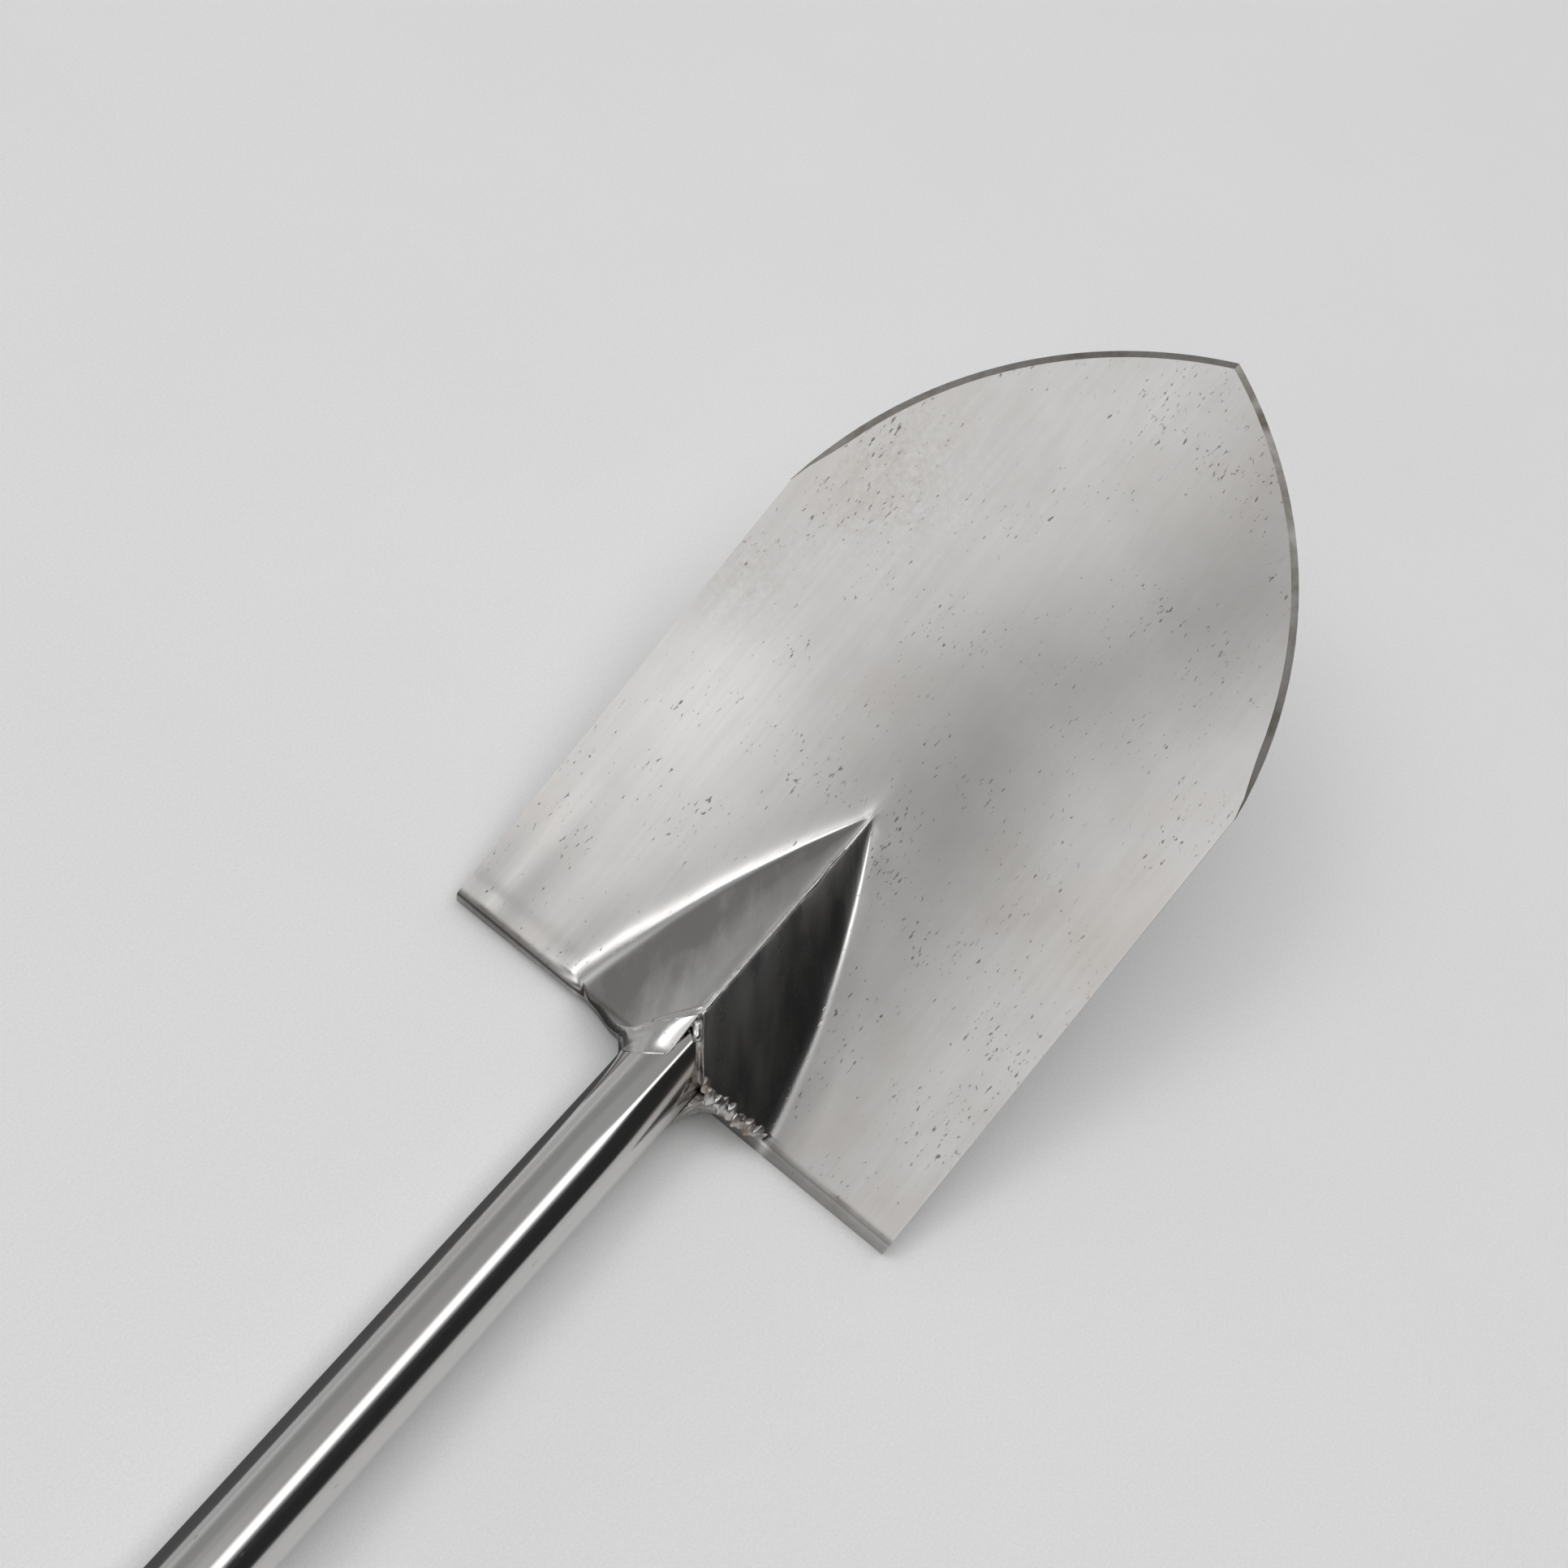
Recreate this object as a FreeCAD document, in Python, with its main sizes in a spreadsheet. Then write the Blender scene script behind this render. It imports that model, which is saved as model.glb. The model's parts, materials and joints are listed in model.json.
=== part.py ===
import FreeCAD, Part
import math
import os
import Sketcher

from FreeCAD import Placement, Rotation, Vector

# A stainless digging shovel with a T-handle, welded from sheet and tube.
#
# Every piece is drawn in the blade's own frame: X runs from the heel to the tip, Y to the
# left, Z out of the face, and the origin is the middle of the heel line on the face.
# rest_placement() then lays the whole shovel down face up, on its treads and its grips,
# with the middle of its footprint at the origin.

# ---------------------------------------------------------------- driving sizes (mm, degrees)

SIZES = {
    # blade plate
    "blade_length": (318, "heel to tip"),
    "heel_width": (190, "across the heel"),
    "shoulder_width": (195, "across the two points where the sides turn in"),
    "shoulder_reach": (186, "heel to those points"),
    "rim_radius": (168, "curved rim from shoulder to tip"),
    "sheet_wall": (2, "sheet thickness"),
    "heel_flat": (6, "flat strip along the heel"),
    "side_rise": (9, "rise of the sides at the shoulders"),
    "tip_rise": (13, "rise of the tip"),
    "bevel_width": (2.8, "ground bevel, across the face"),
    "bevel_depth": (1.2, "ground bevel, down the rim"),
    # folded heel treads
    "tread_depth": (8, "heel line to the tread's edge"),
    "tread_angle": (65, "fold of the tread below the face"),
    "bend_radius": (1, "inside radius of the fold"),
    # raised V frog
    "frog_length": (109, "heel to the frog's point"),
    "frog_width": (81, "across the frog at the heel"),
    "frog_bulge": (5, "how far each foot of the frog bows out"),
    "frog_point": (1.2, "half width of the frog's blunt point"),
    "ridge_height": (25.5, "ridge end above the face"),
    "ridge_start": (20, "heel to the ridge end"),
    "notch_width": (32, "across the notch round the tube, at the heel"),
    "ridge_weld_width": (3, "weld along the ridge"),
    "ridge_weld_stop": (14, "end of that weld, back from the frog's point"),
    # shaft
    "tube_outer": (28, "tube outside diameter"),
    "tube_wall": (1.5, "tube wall"),
    "shaft_reach": (665, "heel to crossbar, along the shaft"),
    "lift_angle": (25, "shaft above the plane of the blade"),
    "shaft_height": (12, "shaft axis above the face at the heel"),
    "nose_reach": (24, "heel to the tube's nose, along the shaft"),
    "tube_gap": (0.1, "gap round the tube in the closing wall"),
    # neck welds
    "crown_weld": (3, "thickness of the weld over the tube"),
    "crown_width": (16, "across that weld"),
    "neck_fillet": (15, "radius of the side welds, seen from above"),
    "neck_fillet_rise": (8, "top of the side welds above the heel line"),
    "neck_fillet_drop": (2.5, "bottom of the side welds below the heel line"),
    # T-handle
    "crossbar_length": (150, "crossbar tube"),
    "handle_weld": (2, "weld collar at the crossbar"),
    "grip_length": (54, "rubber sleeve"),
    "grip_wall": (4, "rubber thickness"),
    "collar_width": (4, "width of the bead at the sleeve's outer end"),
    "collar_rise": (1.5, "rise of that bead above the sleeve"),
    "grip_gap": (0.15, "rubber to tube"),
    "plug_flange": (2.5, "plug's outer disc"),
    "plug_spigot": (11, "plug's length inside the tube"),
    "plug_gap": (0.15, "plug to tube"),
}

ROOM = 30  # spare length that lets a cutting tool run clear of what it cuts
TRIM = 10  # spare width that the pressed sheet has before it is cut to its outline

doc = FreeCAD.newDocument("detecting_shovel")
sheet = doc.addObject("Spreadsheet::Sheet", "sizes")
for row, (alias, (number, meaning)) in enumerate(SIZES.items(), start=1):
    sheet.set(f"A{row}", alias)
    sheet.set(f"B{row}", str(number))
    sheet.set(f"C{row}", meaning)
    sheet.setAlias(f"B{row}", alias)
doc.recompute()

# ---------------------------------------------------------------- small helpers


def size(alias):
    """The number in a named cell."""
    return float(sheet.get(alias))


def number_of(expression):
    """What an expression on the sheet comes to."""
    result = sheet.evalExpression(expression)
    return float(getattr(result, "Value", result))


def bind(item, **expressions):
    """Ties properties of an object to the sheet."""
    for name, expression in expressions.items():
        item.setExpression(name, expression)
    return item


def cylinder(name, placement, radius, height):
    """A Part cylinder sized by two expressions, along its own Z."""
    made = doc.addObject("Part::Cylinder", name)
    made.Placement = placement
    return bind(made, Radius=radius, Height=height)


def box(name, placement, length, width, height):
    """A Part box sized by three expressions, from its own corner."""
    made = doc.addObject("Part::Box", name)
    made.Placement = placement
    return bind(made, Length=length, Width=width, Height=height)


def cut(name, base, tool):
    made = doc.addObject("Part::Cut", name)
    made.Base = base
    made.Tool = tool
    return made


def fuse(name, *items):
    made = doc.addObject("Part::MultiFuse", name)
    made.Shapes = list(items)
    made.Refine = True
    return made


def common(name, *items):
    made = doc.addObject("Part::MultiCommon", name)
    made.Shapes = list(items)
    return made


def feature(name, shape):
    made = doc.addObject("Part::Feature", name)
    made.Shape = shape
    return made


def pin_point(sketch, geometry, end, across, up):
    """Fixes one end of a sketch curve at a place given by two expressions."""
    for kind, axis, expression in (("DistanceX", -2, across), ("DistanceY", -1, up)):
        if expression == "0":
            sketch.addConstraint(Sketcher.Constraint("PointOnObject", geometry, end, axis))
            continue
        here = number_of(expression)
        index = sketch.addConstraint(Sketcher.Constraint(kind, -1, 1, geometry, end, here))
        sketch.setExpression(f"Constraints[{index}]", expression)


def arc_between(start, end, radius):
    """The short arc that turns left from start to end, or right when radius is negative."""
    chord = end - start
    side = math.copysign(1, radius)
    left = Vector(-chord.y, chord.x, 0) / chord.Length
    reach = math.sqrt(radius**2 - (chord.Length / 2) ** 2)
    centre = (start + end) * 0.5 + left * (side * reach)
    circle = Part.Circle(centre, Vector(0, 0, 1), abs(radius))
    first, last = (start, end) if side > 0 else (end, start)
    return Part.ArcOfCircle(circle, circle.parameter(first), circle.parameter(last))


def draw(sketch, corners, arcs=None):
    """Draws a closed outline through corners, which are pairs of sheet expressions.

    arcs maps an edge's number to (radius expression, 1 to turn left or -1 to turn right).
    """
    arcs = arcs or {}
    count = len(corners)
    points = [Vector(number_of(across), number_of(up), 0) for across, up in corners]
    ends = []
    for index in range(count):
        start, end = points[index], points[(index + 1) % count]
        radius, turn = arcs.get(index, ("0", 0))
        if turn:
            sketch.addGeometry(arc_between(start, end, turn * number_of(radius)))
        else:
            sketch.addGeometry(Part.LineSegment(start, end))
        ends.append((2, 1) if turn < 0 else (1, 2))
    for index in range(count):
        following = (index + 1) % count
        joint = (index, ends[index][1], following, ends[following][0])
        sketch.addConstraint(Sketcher.Constraint("Coincident", *joint))
    for index, (across, up) in enumerate(corners):
        pin_point(sketch, index, ends[index][0], across, up)
    for index, (radius, turn) in arcs.items():
        number = sketch.addConstraint(Sketcher.Constraint("Radius", index, number_of(radius)))
        sketch.setExpression(f"Constraints[{number}]", radius)
    return sketch


def loose_sketch(name, placement, corners, arcs=None):
    """A sketch of its own, outside any body."""
    sketch = doc.addObject("Sketcher::SketchObject", name)
    sketch.Placement = placement
    return draw(sketch, corners, arcs)


def extrusion(name, sketch, direction, forward, backward="0"):
    """Extrudes a sketch along a direction, and backwards too if asked."""
    made = doc.addObject("Part::Extrusion", name)
    made.Base = sketch
    made.DirMode = "Custom"
    made.Dir = direction
    made.Solid = True
    return bind(made, LengthFwd=forward, LengthRev=backward)


def slanted(degrees):
    """A direction in the XZ plane, measured from +X towards +Z."""
    angle = math.radians(degrees)
    return Vector(math.cos(angle), 0, math.sin(angle))


# Turns a sketch up on edge: its X stays X and its Y becomes Z.
UPRIGHT = Rotation(Vector(1, 0, 0), 90)

# ---------------------------------------------------------------- blade plate and treads


def dish_height(reach):
    """Rise of the face's middle line at one distance from the heel."""
    return size("tip_rise") * (reach / size("blade_length")) ** 2


def dish_hollow(reach):
    """How far the sides stand above the middle line at one distance from the heel."""
    share = min(reach / size("shoulder_reach"), 1)
    full = size("side_rise") - dish_height(size("shoulder_reach"))
    return full * share**2 * (3 - 2 * share)


def dish_section(reach):
    """Closed section across the pressed sheet, a little wider than the blade."""
    half = size("shoulder_width") / 2 + TRIM
    wall = size("sheet_wall")
    middle = dish_height(reach) - dish_height(size("heel_flat"))
    edge = middle + dish_hollow(reach) * (1 + TRIM / half) ** 2
    flat = reach == size("heel_flat")

    def rail(drop):
        right, left = Vector(reach, -half, edge - drop), Vector(reach, half, edge - drop)
        if flat:
            right.z = left.z = middle - drop
            return Part.LineSegment(right, left).toShape()
        return Part.Arc(right, Vector(reach, 0, middle - drop), left).toShape()

    face, back = rail(0), rail(wall)
    ends = [
        Part.LineSegment(face.Vertexes[which].Point, back.Vertexes[which].Point).toShape()
        for which in (1, 0)
    ]
    return Part.Wire([face, ends[0], back, ends[1]])


def pressed_sheet():
    """The dished sheet before it is cut out: flat at the heel, hollow towards the tip."""
    shoulder, length = size("shoulder_reach"), size("blade_length")
    reaches = [size("heel_flat"), shoulder / 3, shoulder * 2 / 3, shoulder]
    reaches += [(shoulder + length) / 2, length, length + TRIM]
    sections = [dish_section(reach) for reach in reaches]
    return feature("pressed_sheet", Part.makeLoft(sections, True, False))


def blade_plate():
    """The sheet cut to its outline, with the two treads folded down from the heel."""
    outline = loose_sketch(
        "blade_outline",
        Placement(),
        [
            ("sizes.heel_flat", "-sizes.heel_width / 2"),
            ("sizes.shoulder_reach", "-sizes.shoulder_width / 2"),
            ("sizes.blade_length", "0"),
            ("sizes.shoulder_reach", "sizes.shoulder_width / 2"),
            ("sizes.heel_flat", "sizes.heel_width / 2"),
        ],
        {1: ("sizes.rim_radius", 1), 2: ("sizes.rim_radius", 1)},
    )
    tall = f"sizes.tip_rise + {ROOM}"
    prism = extrusion("outline_prism", outline, Vector(0, 0, 1), tall, tall)
    plate = common("cut_plate", pressed_sheet(), prism)
    folded = fuse("folded_plate", plate, tread_strip())
    doc.recompute()
    return rounded_folds(folded)


def tread_strip():
    """Flat heel strip with the tread folded down from it, sharp before the fold is rounded."""
    fold, depth, wall = "sizes.tread_angle", "sizes.tread_depth", "sizes.sheet_wall"
    across, down = f"cos({fold})", f"sin({fold})"
    section = loose_sketch(
        "tread_section",
        Placement(Vector(), UPRIGHT),
        [
            ("sizes.heel_flat", "0"),
            ("0", "0"),
            (f"-{depth} * {across}", f"-{depth} * {down}"),
            (f"-{depth} * {across} + {wall} * {down}", f"-{depth} * {down} - {wall} * {across}"),
            (f"{wall} * tan({fold} / 2)", f"-{wall}"),
            ("sizes.heel_flat", f"-{wall}"),
        ],
    )
    half = "sizes.heel_width / 2"
    return extrusion("tread_strip", section, Vector(0, 1, 0), half, half)


def edges_along_y(shape, x, z):
    """Numbers of the straight edges that run along Y through one point of the XZ plane."""
    found = []
    for number, edge in enumerate(shape.Edges, start=1):
        ends = [vertex.Point for vertex in edge.Vertexes]
        if len(ends) == 2 and all(math.hypot(p.x - x, p.z - z) < 1e-3 for p in ends):
            found.append(number)
    return found


def rounded_folds(folded):
    """Rounds the fold: bend_radius inside, and the sheet's thickness more outside."""
    wall, bend = size("sheet_wall"), size("bend_radius")
    inner_corner = wall * math.tan(math.radians(size("tread_angle") / 2))
    outer = edges_along_y(folded.Shape, 0, 0)
    inner = edges_along_y(folded.Shape, inner_corner, -wall)
    if not outer or not inner:
        raise RuntimeError("the folds of the treads were not found")
    rounded = doc.addObject("Part::Fillet", "rounded_folds")
    rounded.Base = folded
    rounded.Edges = [(number, bend + wall, bend + wall) for number in outer] + [
        (number, bend, bend) for number in inner
    ]
    return rounded


# ---------------------------------------------------------------- frog


def frog_section(reach, inset):
    """Section of the V across the blade. inset moves its two faces inwards.

    The V's feet go half way into the sheet, and those of its hollow right through it.
    """
    length = size("frog_length")
    fall = (size("ridge_height") - dish_height(length)) / (length - size("ridge_start"))
    height = dish_height(length) + fall * (length - reach)
    share = reach / length
    bow = 4 * size("frog_bulge") * share * (1 - share)
    foot = size("frog_point") + (size("frog_width") / 2 - size("frog_point")) * (1 - share) + bow
    slope = math.atan2(height, foot)
    floor = -size("sheet_wall") * (3 / 2 if inset else 1 / 2)
    height -= inset / math.cos(slope)
    half = (height - floor) / math.tan(slope)
    corners = [Vector(reach, y, z) for y, z in ((-half, floor), (0, height), (half, floor))]
    return Part.makePolygon(corners + corners[:1])


NOTCH_ANGLE = "atan(sizes.notch_width / 2 / sizes.ridge_start)"


def behind_notch(name, inset, far):
    """Plan corners of the space behind the closing wall: straight, with a V notch for the tube."""
    peak = f"(sizes.ridge_start + {inset} / sin({NOTCH_ANGLE}))"
    half = f"(({peak} - {inset}) * tan({NOTCH_ANGLE}))"
    wide = "sizes.frog_width"
    corners = [(peak, "0"), (inset, half), (inset, wide), (far, wide)]
    corners += [(across, f"-({up})") for across, up in reversed(corners[1:])]
    return loose_sketch(name, Placement(Vector(0, 0, -ROOM), Rotation()), corners)


def frog_wedge(name, inset):
    """The V, trimmed to its closing wall. With an inset it is the hollow under the V."""
    behind_heel = -1 / 8
    shares = (behind_heel, 1 / 4, 1 / 2, 3 / 4, 1)
    sections = [frog_section(size("frog_length") * share, inset) for share in shares]
    wedge = feature(name + "_loft", Part.makeLoft(sections, True, False))
    plan = behind_notch(name + "_plan", f"{inset}", f"-{ROOM}")
    behind = extrusion(name + "_trim", plan, Vector(0, 0, 1), f"{3 * ROOM}")
    return cut(name, wedge, behind)


def ridge_slot():
    """The strip along the ridge that the weld fills, from the closing wall's inner face."""
    start = f"(sizes.ridge_start + sizes.sheet_wall / sin({NOTCH_ANGLE}))"
    corner = Vector(number_of(start), -size("ridge_weld_width") / 2, 0)
    return box(
        "ridge_slot",
        Placement(corner, Rotation()),
        f"sizes.frog_length - sizes.ridge_weld_stop - {start}",
        "sizes.ridge_weld_width",
        f"sizes.ridge_height + {ROOM}",
    )


# ---------------------------------------------------------------- shaft


def shaft_point(reach):
    """A point of the shaft's axis, at a distance from the heel towards the handle."""
    heel = Vector(0, 0, size("shaft_height"))
    return heel + slanted(180 - size("lift_angle")) * reach


def shaft_placement(reach):
    """Stands at a point of the shaft's axis with Z towards the handle."""
    return Placement(shaft_point(reach), Rotation(Vector(0, 1, 0), size("lift_angle") - 90))


def shaft_cylinder(name, radius, start, length):
    """A cylinder round the shaft's axis. start is a number, radius and length expressions."""
    return cylinder(name, shaft_placement(start), radius, length)


def crossbar_placement(side, reach):
    """Stands on the crossbar's axis with Z pointing out of its left (1) or right (-1) end."""
    centre = shaft_point(size("shaft_reach"))
    return Placement(centre + Vector(0, side * reach, 0), Rotation(Vector(1, 0, 0), -90 * side))


def crossbar_cylinder(name, radius, length):
    """A cylinder of the full length round the crossbar's axis."""
    start = crossbar_placement(1, -number_of(length) / 2)
    return cylinder(name, start, radius, length)


TUBE_RADIUS = "sizes.tube_outer / 2"
BORE_RADIUS = "sizes.tube_outer / 2 - sizes.tube_wall"
SHAFT_LENGTH = "sizes.shaft_reach + sizes.nose_reach"


def make_shaft():
    """Straight tube from its nose under the frog to the saddle on the crossbar."""
    nose = -size("nose_reach")
    outer = shaft_cylinder("shaft_outer", TUBE_RADIUS, nose, SHAFT_LENGTH)
    bore = shaft_cylinder("shaft_bore", BORE_RADIUS, nose, SHAFT_LENGTH)
    seat = crossbar_cylinder("shaft_saddle", TUBE_RADIUS, "2 * sizes.tube_outer")
    return cut("shaft", cut("shaft_tube", outer, bore), seat)


# ---------------------------------------------------------------- neck welds


def neck_tube(name, extra):
    """The tube through the neck, thicker by extra, as a tool for cutting round it."""
    start = -size("nose_reach") - 2 * size("sheet_wall")
    radius = f"{TUBE_RADIUS} + {extra}"
    return shaft_cylinder(name, radius, start, f"sizes.nose_reach + {4 * ROOM}")


def front_space():
    """Everything in front of the closing wall and the treads, where no neck weld reaches."""
    tread, far = "(180 + sizes.tread_angle)", f"(sizes.frog_length + {ROOM})"
    section = loose_sketch(
        "front_section",
        Placement(Vector(), UPRIGHT),
        [
            ("0", "0"),
            (f"{far} * cos({tread})", f"{far} * sin({tread})"),
            (far, f"{far} * sin({tread})"),
            (far, far),
            ("0", far),
        ],
    )
    half = "sizes.frog_width"
    return extrusion("front_space", section, Vector(0, 1, 0), half, half)


def side_weld(side, front, seat):
    """Fillet between the tube's side, the closing wall and the tread, with a hollow edge."""
    word, sign = ("left", "") if side > 0 else ("right", "-")
    inner = f"{sign}sizes.tube_outer / 4"
    beside = f"{sign}sizes.tube_outer / 2"
    beyond = f"{sign}(sizes.tube_outer / 2 + sizes.neck_fillet)"
    lean = Rotation(Vector(0, 1, 0), size("lift_angle"))
    plan = loose_sketch(
        f"neck_plan_{word}",
        Placement(Vector(), lean),
        [
            (f"{ROOM}", inner),
            (f"{ROOM}", beyond),
            ("0", beyond),
            ("-sizes.neck_fillet", beside),
            ("-sizes.neck_fillet", inner),
        ],
        {2: ("sizes.neck_fillet", -side)},
    )
    upwards = lean.multVec(Vector(0, 0, 1))
    blank = extrusion(
        f"neck_blank_{word}", plan, upwards, "sizes.neck_fillet_rise", "sizes.neck_fillet_drop"
    )
    trimmed = cut(f"neck_trimmed_{word}", cut(f"neck_faced_{word}", blank, front), seat)
    return cut(f"neck_weld_{word}", trimmed, neck_tube(f"neck_core_{word}", "0"))


def crown_weld():
    """V-shaped bead over the top of the tube, along the notch in the closing wall."""
    back = f"(sizes.crown_weld / sin({NOTCH_ANGLE}))"
    peak, half = "sizes.ridge_start", "sizes.crown_width / 2"
    side = f"({peak} - {half} / tan({NOTCH_ANGLE}))"
    corners = [(peak, "0"), (side, half), (f"{side} - {back}", half), (f"{peak} - {back}", "0")]
    corners += [(across, f"-({up})") for across, up in (corners[2], corners[1])]
    plan = loose_sketch("crown_plan", Placement(), corners)
    band = extrusion("crown_band", plan, Vector(0, 0, 1), f"sizes.ridge_height + {ROOM}")
    ring = cut(
        "crown_ring",
        neck_tube("crown_outer", "sizes.crown_weld"),
        neck_tube("crown_core", "0"),
    )
    return common("neck_weld_crown", band, ring)


# ---------------------------------------------------------------- T-handle


def make_crossbar():
    outer = crossbar_cylinder("crossbar_outer", TUBE_RADIUS, "sizes.crossbar_length")
    bore = crossbar_cylinder("crossbar_bore", BORE_RADIUS, "sizes.crossbar_length")
    return cut("crossbar", outer, bore)


def crossbar_weld():
    """Saddle-shaped collar where the shaft meets the crossbar."""
    start = size("shaft_reach") - 2 * size("tube_outer")
    length = "2 * sizes.tube_outer"
    wide = f"{TUBE_RADIUS} + sizes.handle_weld"
    sleeve = cut(
        "collar_sleeve",
        shaft_cylinder("collar_outer", wide, start, length),
        shaft_cylinder("collar_core", TUBE_RADIUS, start, length),
    )
    shell = cut(
        "saddle_shell",
        crossbar_cylinder("saddle_outer", wide, "2 * sizes.tube_outer"),
        crossbar_cylinder("saddle_core", TUBE_RADIUS, "2 * sizes.tube_outer"),
    )
    return common("crossbar_weld", sleeve, shell)


def turned_body(name, placement, corners):
    """A PartDesign body turned about its own Z from half a section."""
    body = doc.addObject("PartDesign::Body", name)
    section = body.newObject("Sketcher::SketchObject", name + "_section")
    planes = {plane.Role: plane for plane in body.Origin.OriginFeatures}
    section.AttachmentSupport = [(planes["XZ_Plane"], "")]
    section.MapMode = "FlatFace"
    draw(section, corners)
    turned = body.newObject("PartDesign::Revolution", name + "_turned")
    turned.Profile = section
    turned.ReferenceAxis = (section, ["V_Axis"])
    turned.Angle = 360
    body.Tip = turned
    body.Placement = placement
    return body


def make_grip(side, word):
    """Rubber sleeve with a raised bead at its outer end, flush with the tube's end."""
    inner = "sizes.tube_outer / 2 + sizes.grip_gap"
    outer = f"{inner} + sizes.grip_wall"
    bead = f"{outer} + sizes.collar_rise"
    start = size("crossbar_length") / 2 - size("grip_length")
    return turned_body(
        f"grip_{word}",
        crossbar_placement(side, start),
        [
            (inner, "0"),
            (outer, "0"),
            (outer, "sizes.grip_length - sizes.collar_width"),
            (bead, "sizes.grip_length - sizes.collar_width"),
            (bead, "sizes.grip_length"),
            (inner, "sizes.grip_length"),
        ],
    )


def make_plug(side, word):
    """Plastic plug: a disc against the tube's end and a spigot inside it."""
    bore = "sizes.tube_outer / 2 - sizes.tube_wall - sizes.plug_gap"
    return turned_body(
        f"end_plug_{word}",
        crossbar_placement(side, size("crossbar_length") / 2),
        [
            ("0", "sizes.plug_flange"),
            ("sizes.tube_outer / 2", "sizes.plug_flange"),
            ("sizes.tube_outer / 2", "0"),
            (bore, "0"),
            (bore, "-sizes.plug_spigot"),
            ("0", "-sizes.plug_spigot"),
        ],
    )


# ---------------------------------------------------------------- the blade put together


def rim_edges(shape):
    """Numbers of the edges where the curved rim meets the face."""
    reach, length = size("shoulder_reach"), size("blade_length")
    rim = []
    for number, edge in enumerate(shape.Edges, start=1):
        ends = sorted(vertex.Point.x for vertex in edge.Vertexes)
        if len(ends) == 2 and abs(ends[0] - reach) < 1 and abs(ends[1] - length) < 1:
            rim.append((edge.Vertexes[0].Point.z + edge.Vertexes[1].Point.z, number))
    rim.sort(reverse=True)
    return [number for _, number in rim[:2]]


def bevelled(plate):
    """Grinds the bevel along the curved rim, on the face side."""
    edges = rim_edges(plate.Shape)
    if len(edges) != 2:
        raise RuntimeError("the curved rim was not found")
    ground = doc.addObject("Part::Chamfer", "ground_plate")
    ground.Base = plate
    ground.Edges = [(number, size("bevel_width"), size("bevel_depth")) for number in edges]
    return ground


def make_blade():
    """Plate, treads and frog as one sheet, and the welds that close it on itself and the tube."""
    plate = blade_plate()
    doc.recompute()
    outer = frog_wedge("frog_outer", 0)
    hollow = frog_wedge("frog_hollow", size("sheet_wall"))
    pressed = fuse("pressed_blade", bevelled(plate), outer)
    opened = cut("opened_blade", pressed, hollow)
    passage = cut("pierced_blade", opened, neck_tube("tube_passage", "sizes.tube_gap"))
    slot = ridge_slot()
    blade = cut("blade", passage, slot)
    ridge_weld = cut("ridge_weld", common("ridge_filling", outer, slot), hollow)
    front = front_space()
    sides = [side_weld(side, front, passage) for side in (1, -1)]
    return [blade, ridge_weld, crown_weld(), *sides]


def rest_angle():
    """Pitch that sets the treads' edges and the grips' beads on one floor."""
    fold = slanted(180 + size("tread_angle")) * size("tread_depth")
    inner_edge = fold + slanted(270 + size("tread_angle")) * size("sheet_wall")
    handle = shaft_point(size("shaft_reach"))
    angles = []
    for edge in (fold, inner_edge):
        span = handle - edge
        rise = math.degrees(math.atan2(span.z, -span.x))
        angles.append(rise - math.degrees(math.asin(grip_radius() / span.Length)))
    return max(angles), fold, inner_edge


def grip_radius():
    """Radius of the beads that the handle lies on."""
    return size("tube_outer") / 2 + size("grip_gap") + size("grip_wall") + size("collar_rise")


def rest_placement():
    """Lays the shovel face up on the floor, with its footprint centred on the origin."""
    pitch, fold, inner_edge = rest_angle()
    turn = Rotation(Vector(0, 1, 0), -pitch)
    tip = turn.multVec(Vector(size("blade_length"), 0, size("tip_rise") - size("sheet_wall")))
    handle = turn.multVec(shaft_point(size("shaft_reach")))
    floor = min(turn.multVec(edge).z for edge in (fold, inner_edge))
    middle = (tip.x + handle.x - grip_radius()) / 2
    return Placement(Vector(-middle, 0, -floor), turn)


# ---------------------------------------------------------------- build


def build():
    """Makes every piece. Each name is the piece's node."""
    pieces = [*make_blade(), make_shaft(), make_crossbar(), crossbar_weld()]
    for side, word in ((1, "left"), (-1, "right")):
        pieces += [make_grip(side, word), make_plug(side, word)]
    doc.recompute()
    rest = rest_placement()
    for piece in pieces:
        piece.Label = piece.Name
        piece.Placement = rest * piece.Placement
    doc.recompute()
    return pieces


def check(pieces):
    """Stops if anything in the document failed, or a piece is empty, broken or in bits."""
    for item in doc.Objects:
        if {"Invalid", "Error"} & set(item.State):
            raise RuntimeError(f"{item.Name} failed: {item.State}")
    for piece in pieces:
        shape = piece.Shape
        if shape.isNull() or not shape.isValid() or len(shape.Solids) != 1:
            raise RuntimeError(f"{piece.Label} is not one sound solid")


def export(pieces):
    os.makedirs("parts", exist_ok=True)
    for piece in pieces:
        piece.Shape.exportStep(os.path.join("parts", piece.Label + ".step"))


made = build()
check(made)
export(made)
for piece in made:
    bounds = piece.Shape.optimalBoundingBox(False)
    print(f"{piece.Label}: {piece.Shape.Volume / 1000:.2f} cm3, {bounds}")
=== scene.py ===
import json
import math

import bpy
from bpy.props import FloatProperty, FloatVectorProperty, IntProperty, PointerProperty
from mathutils import Matrix, Vector, noise

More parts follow.
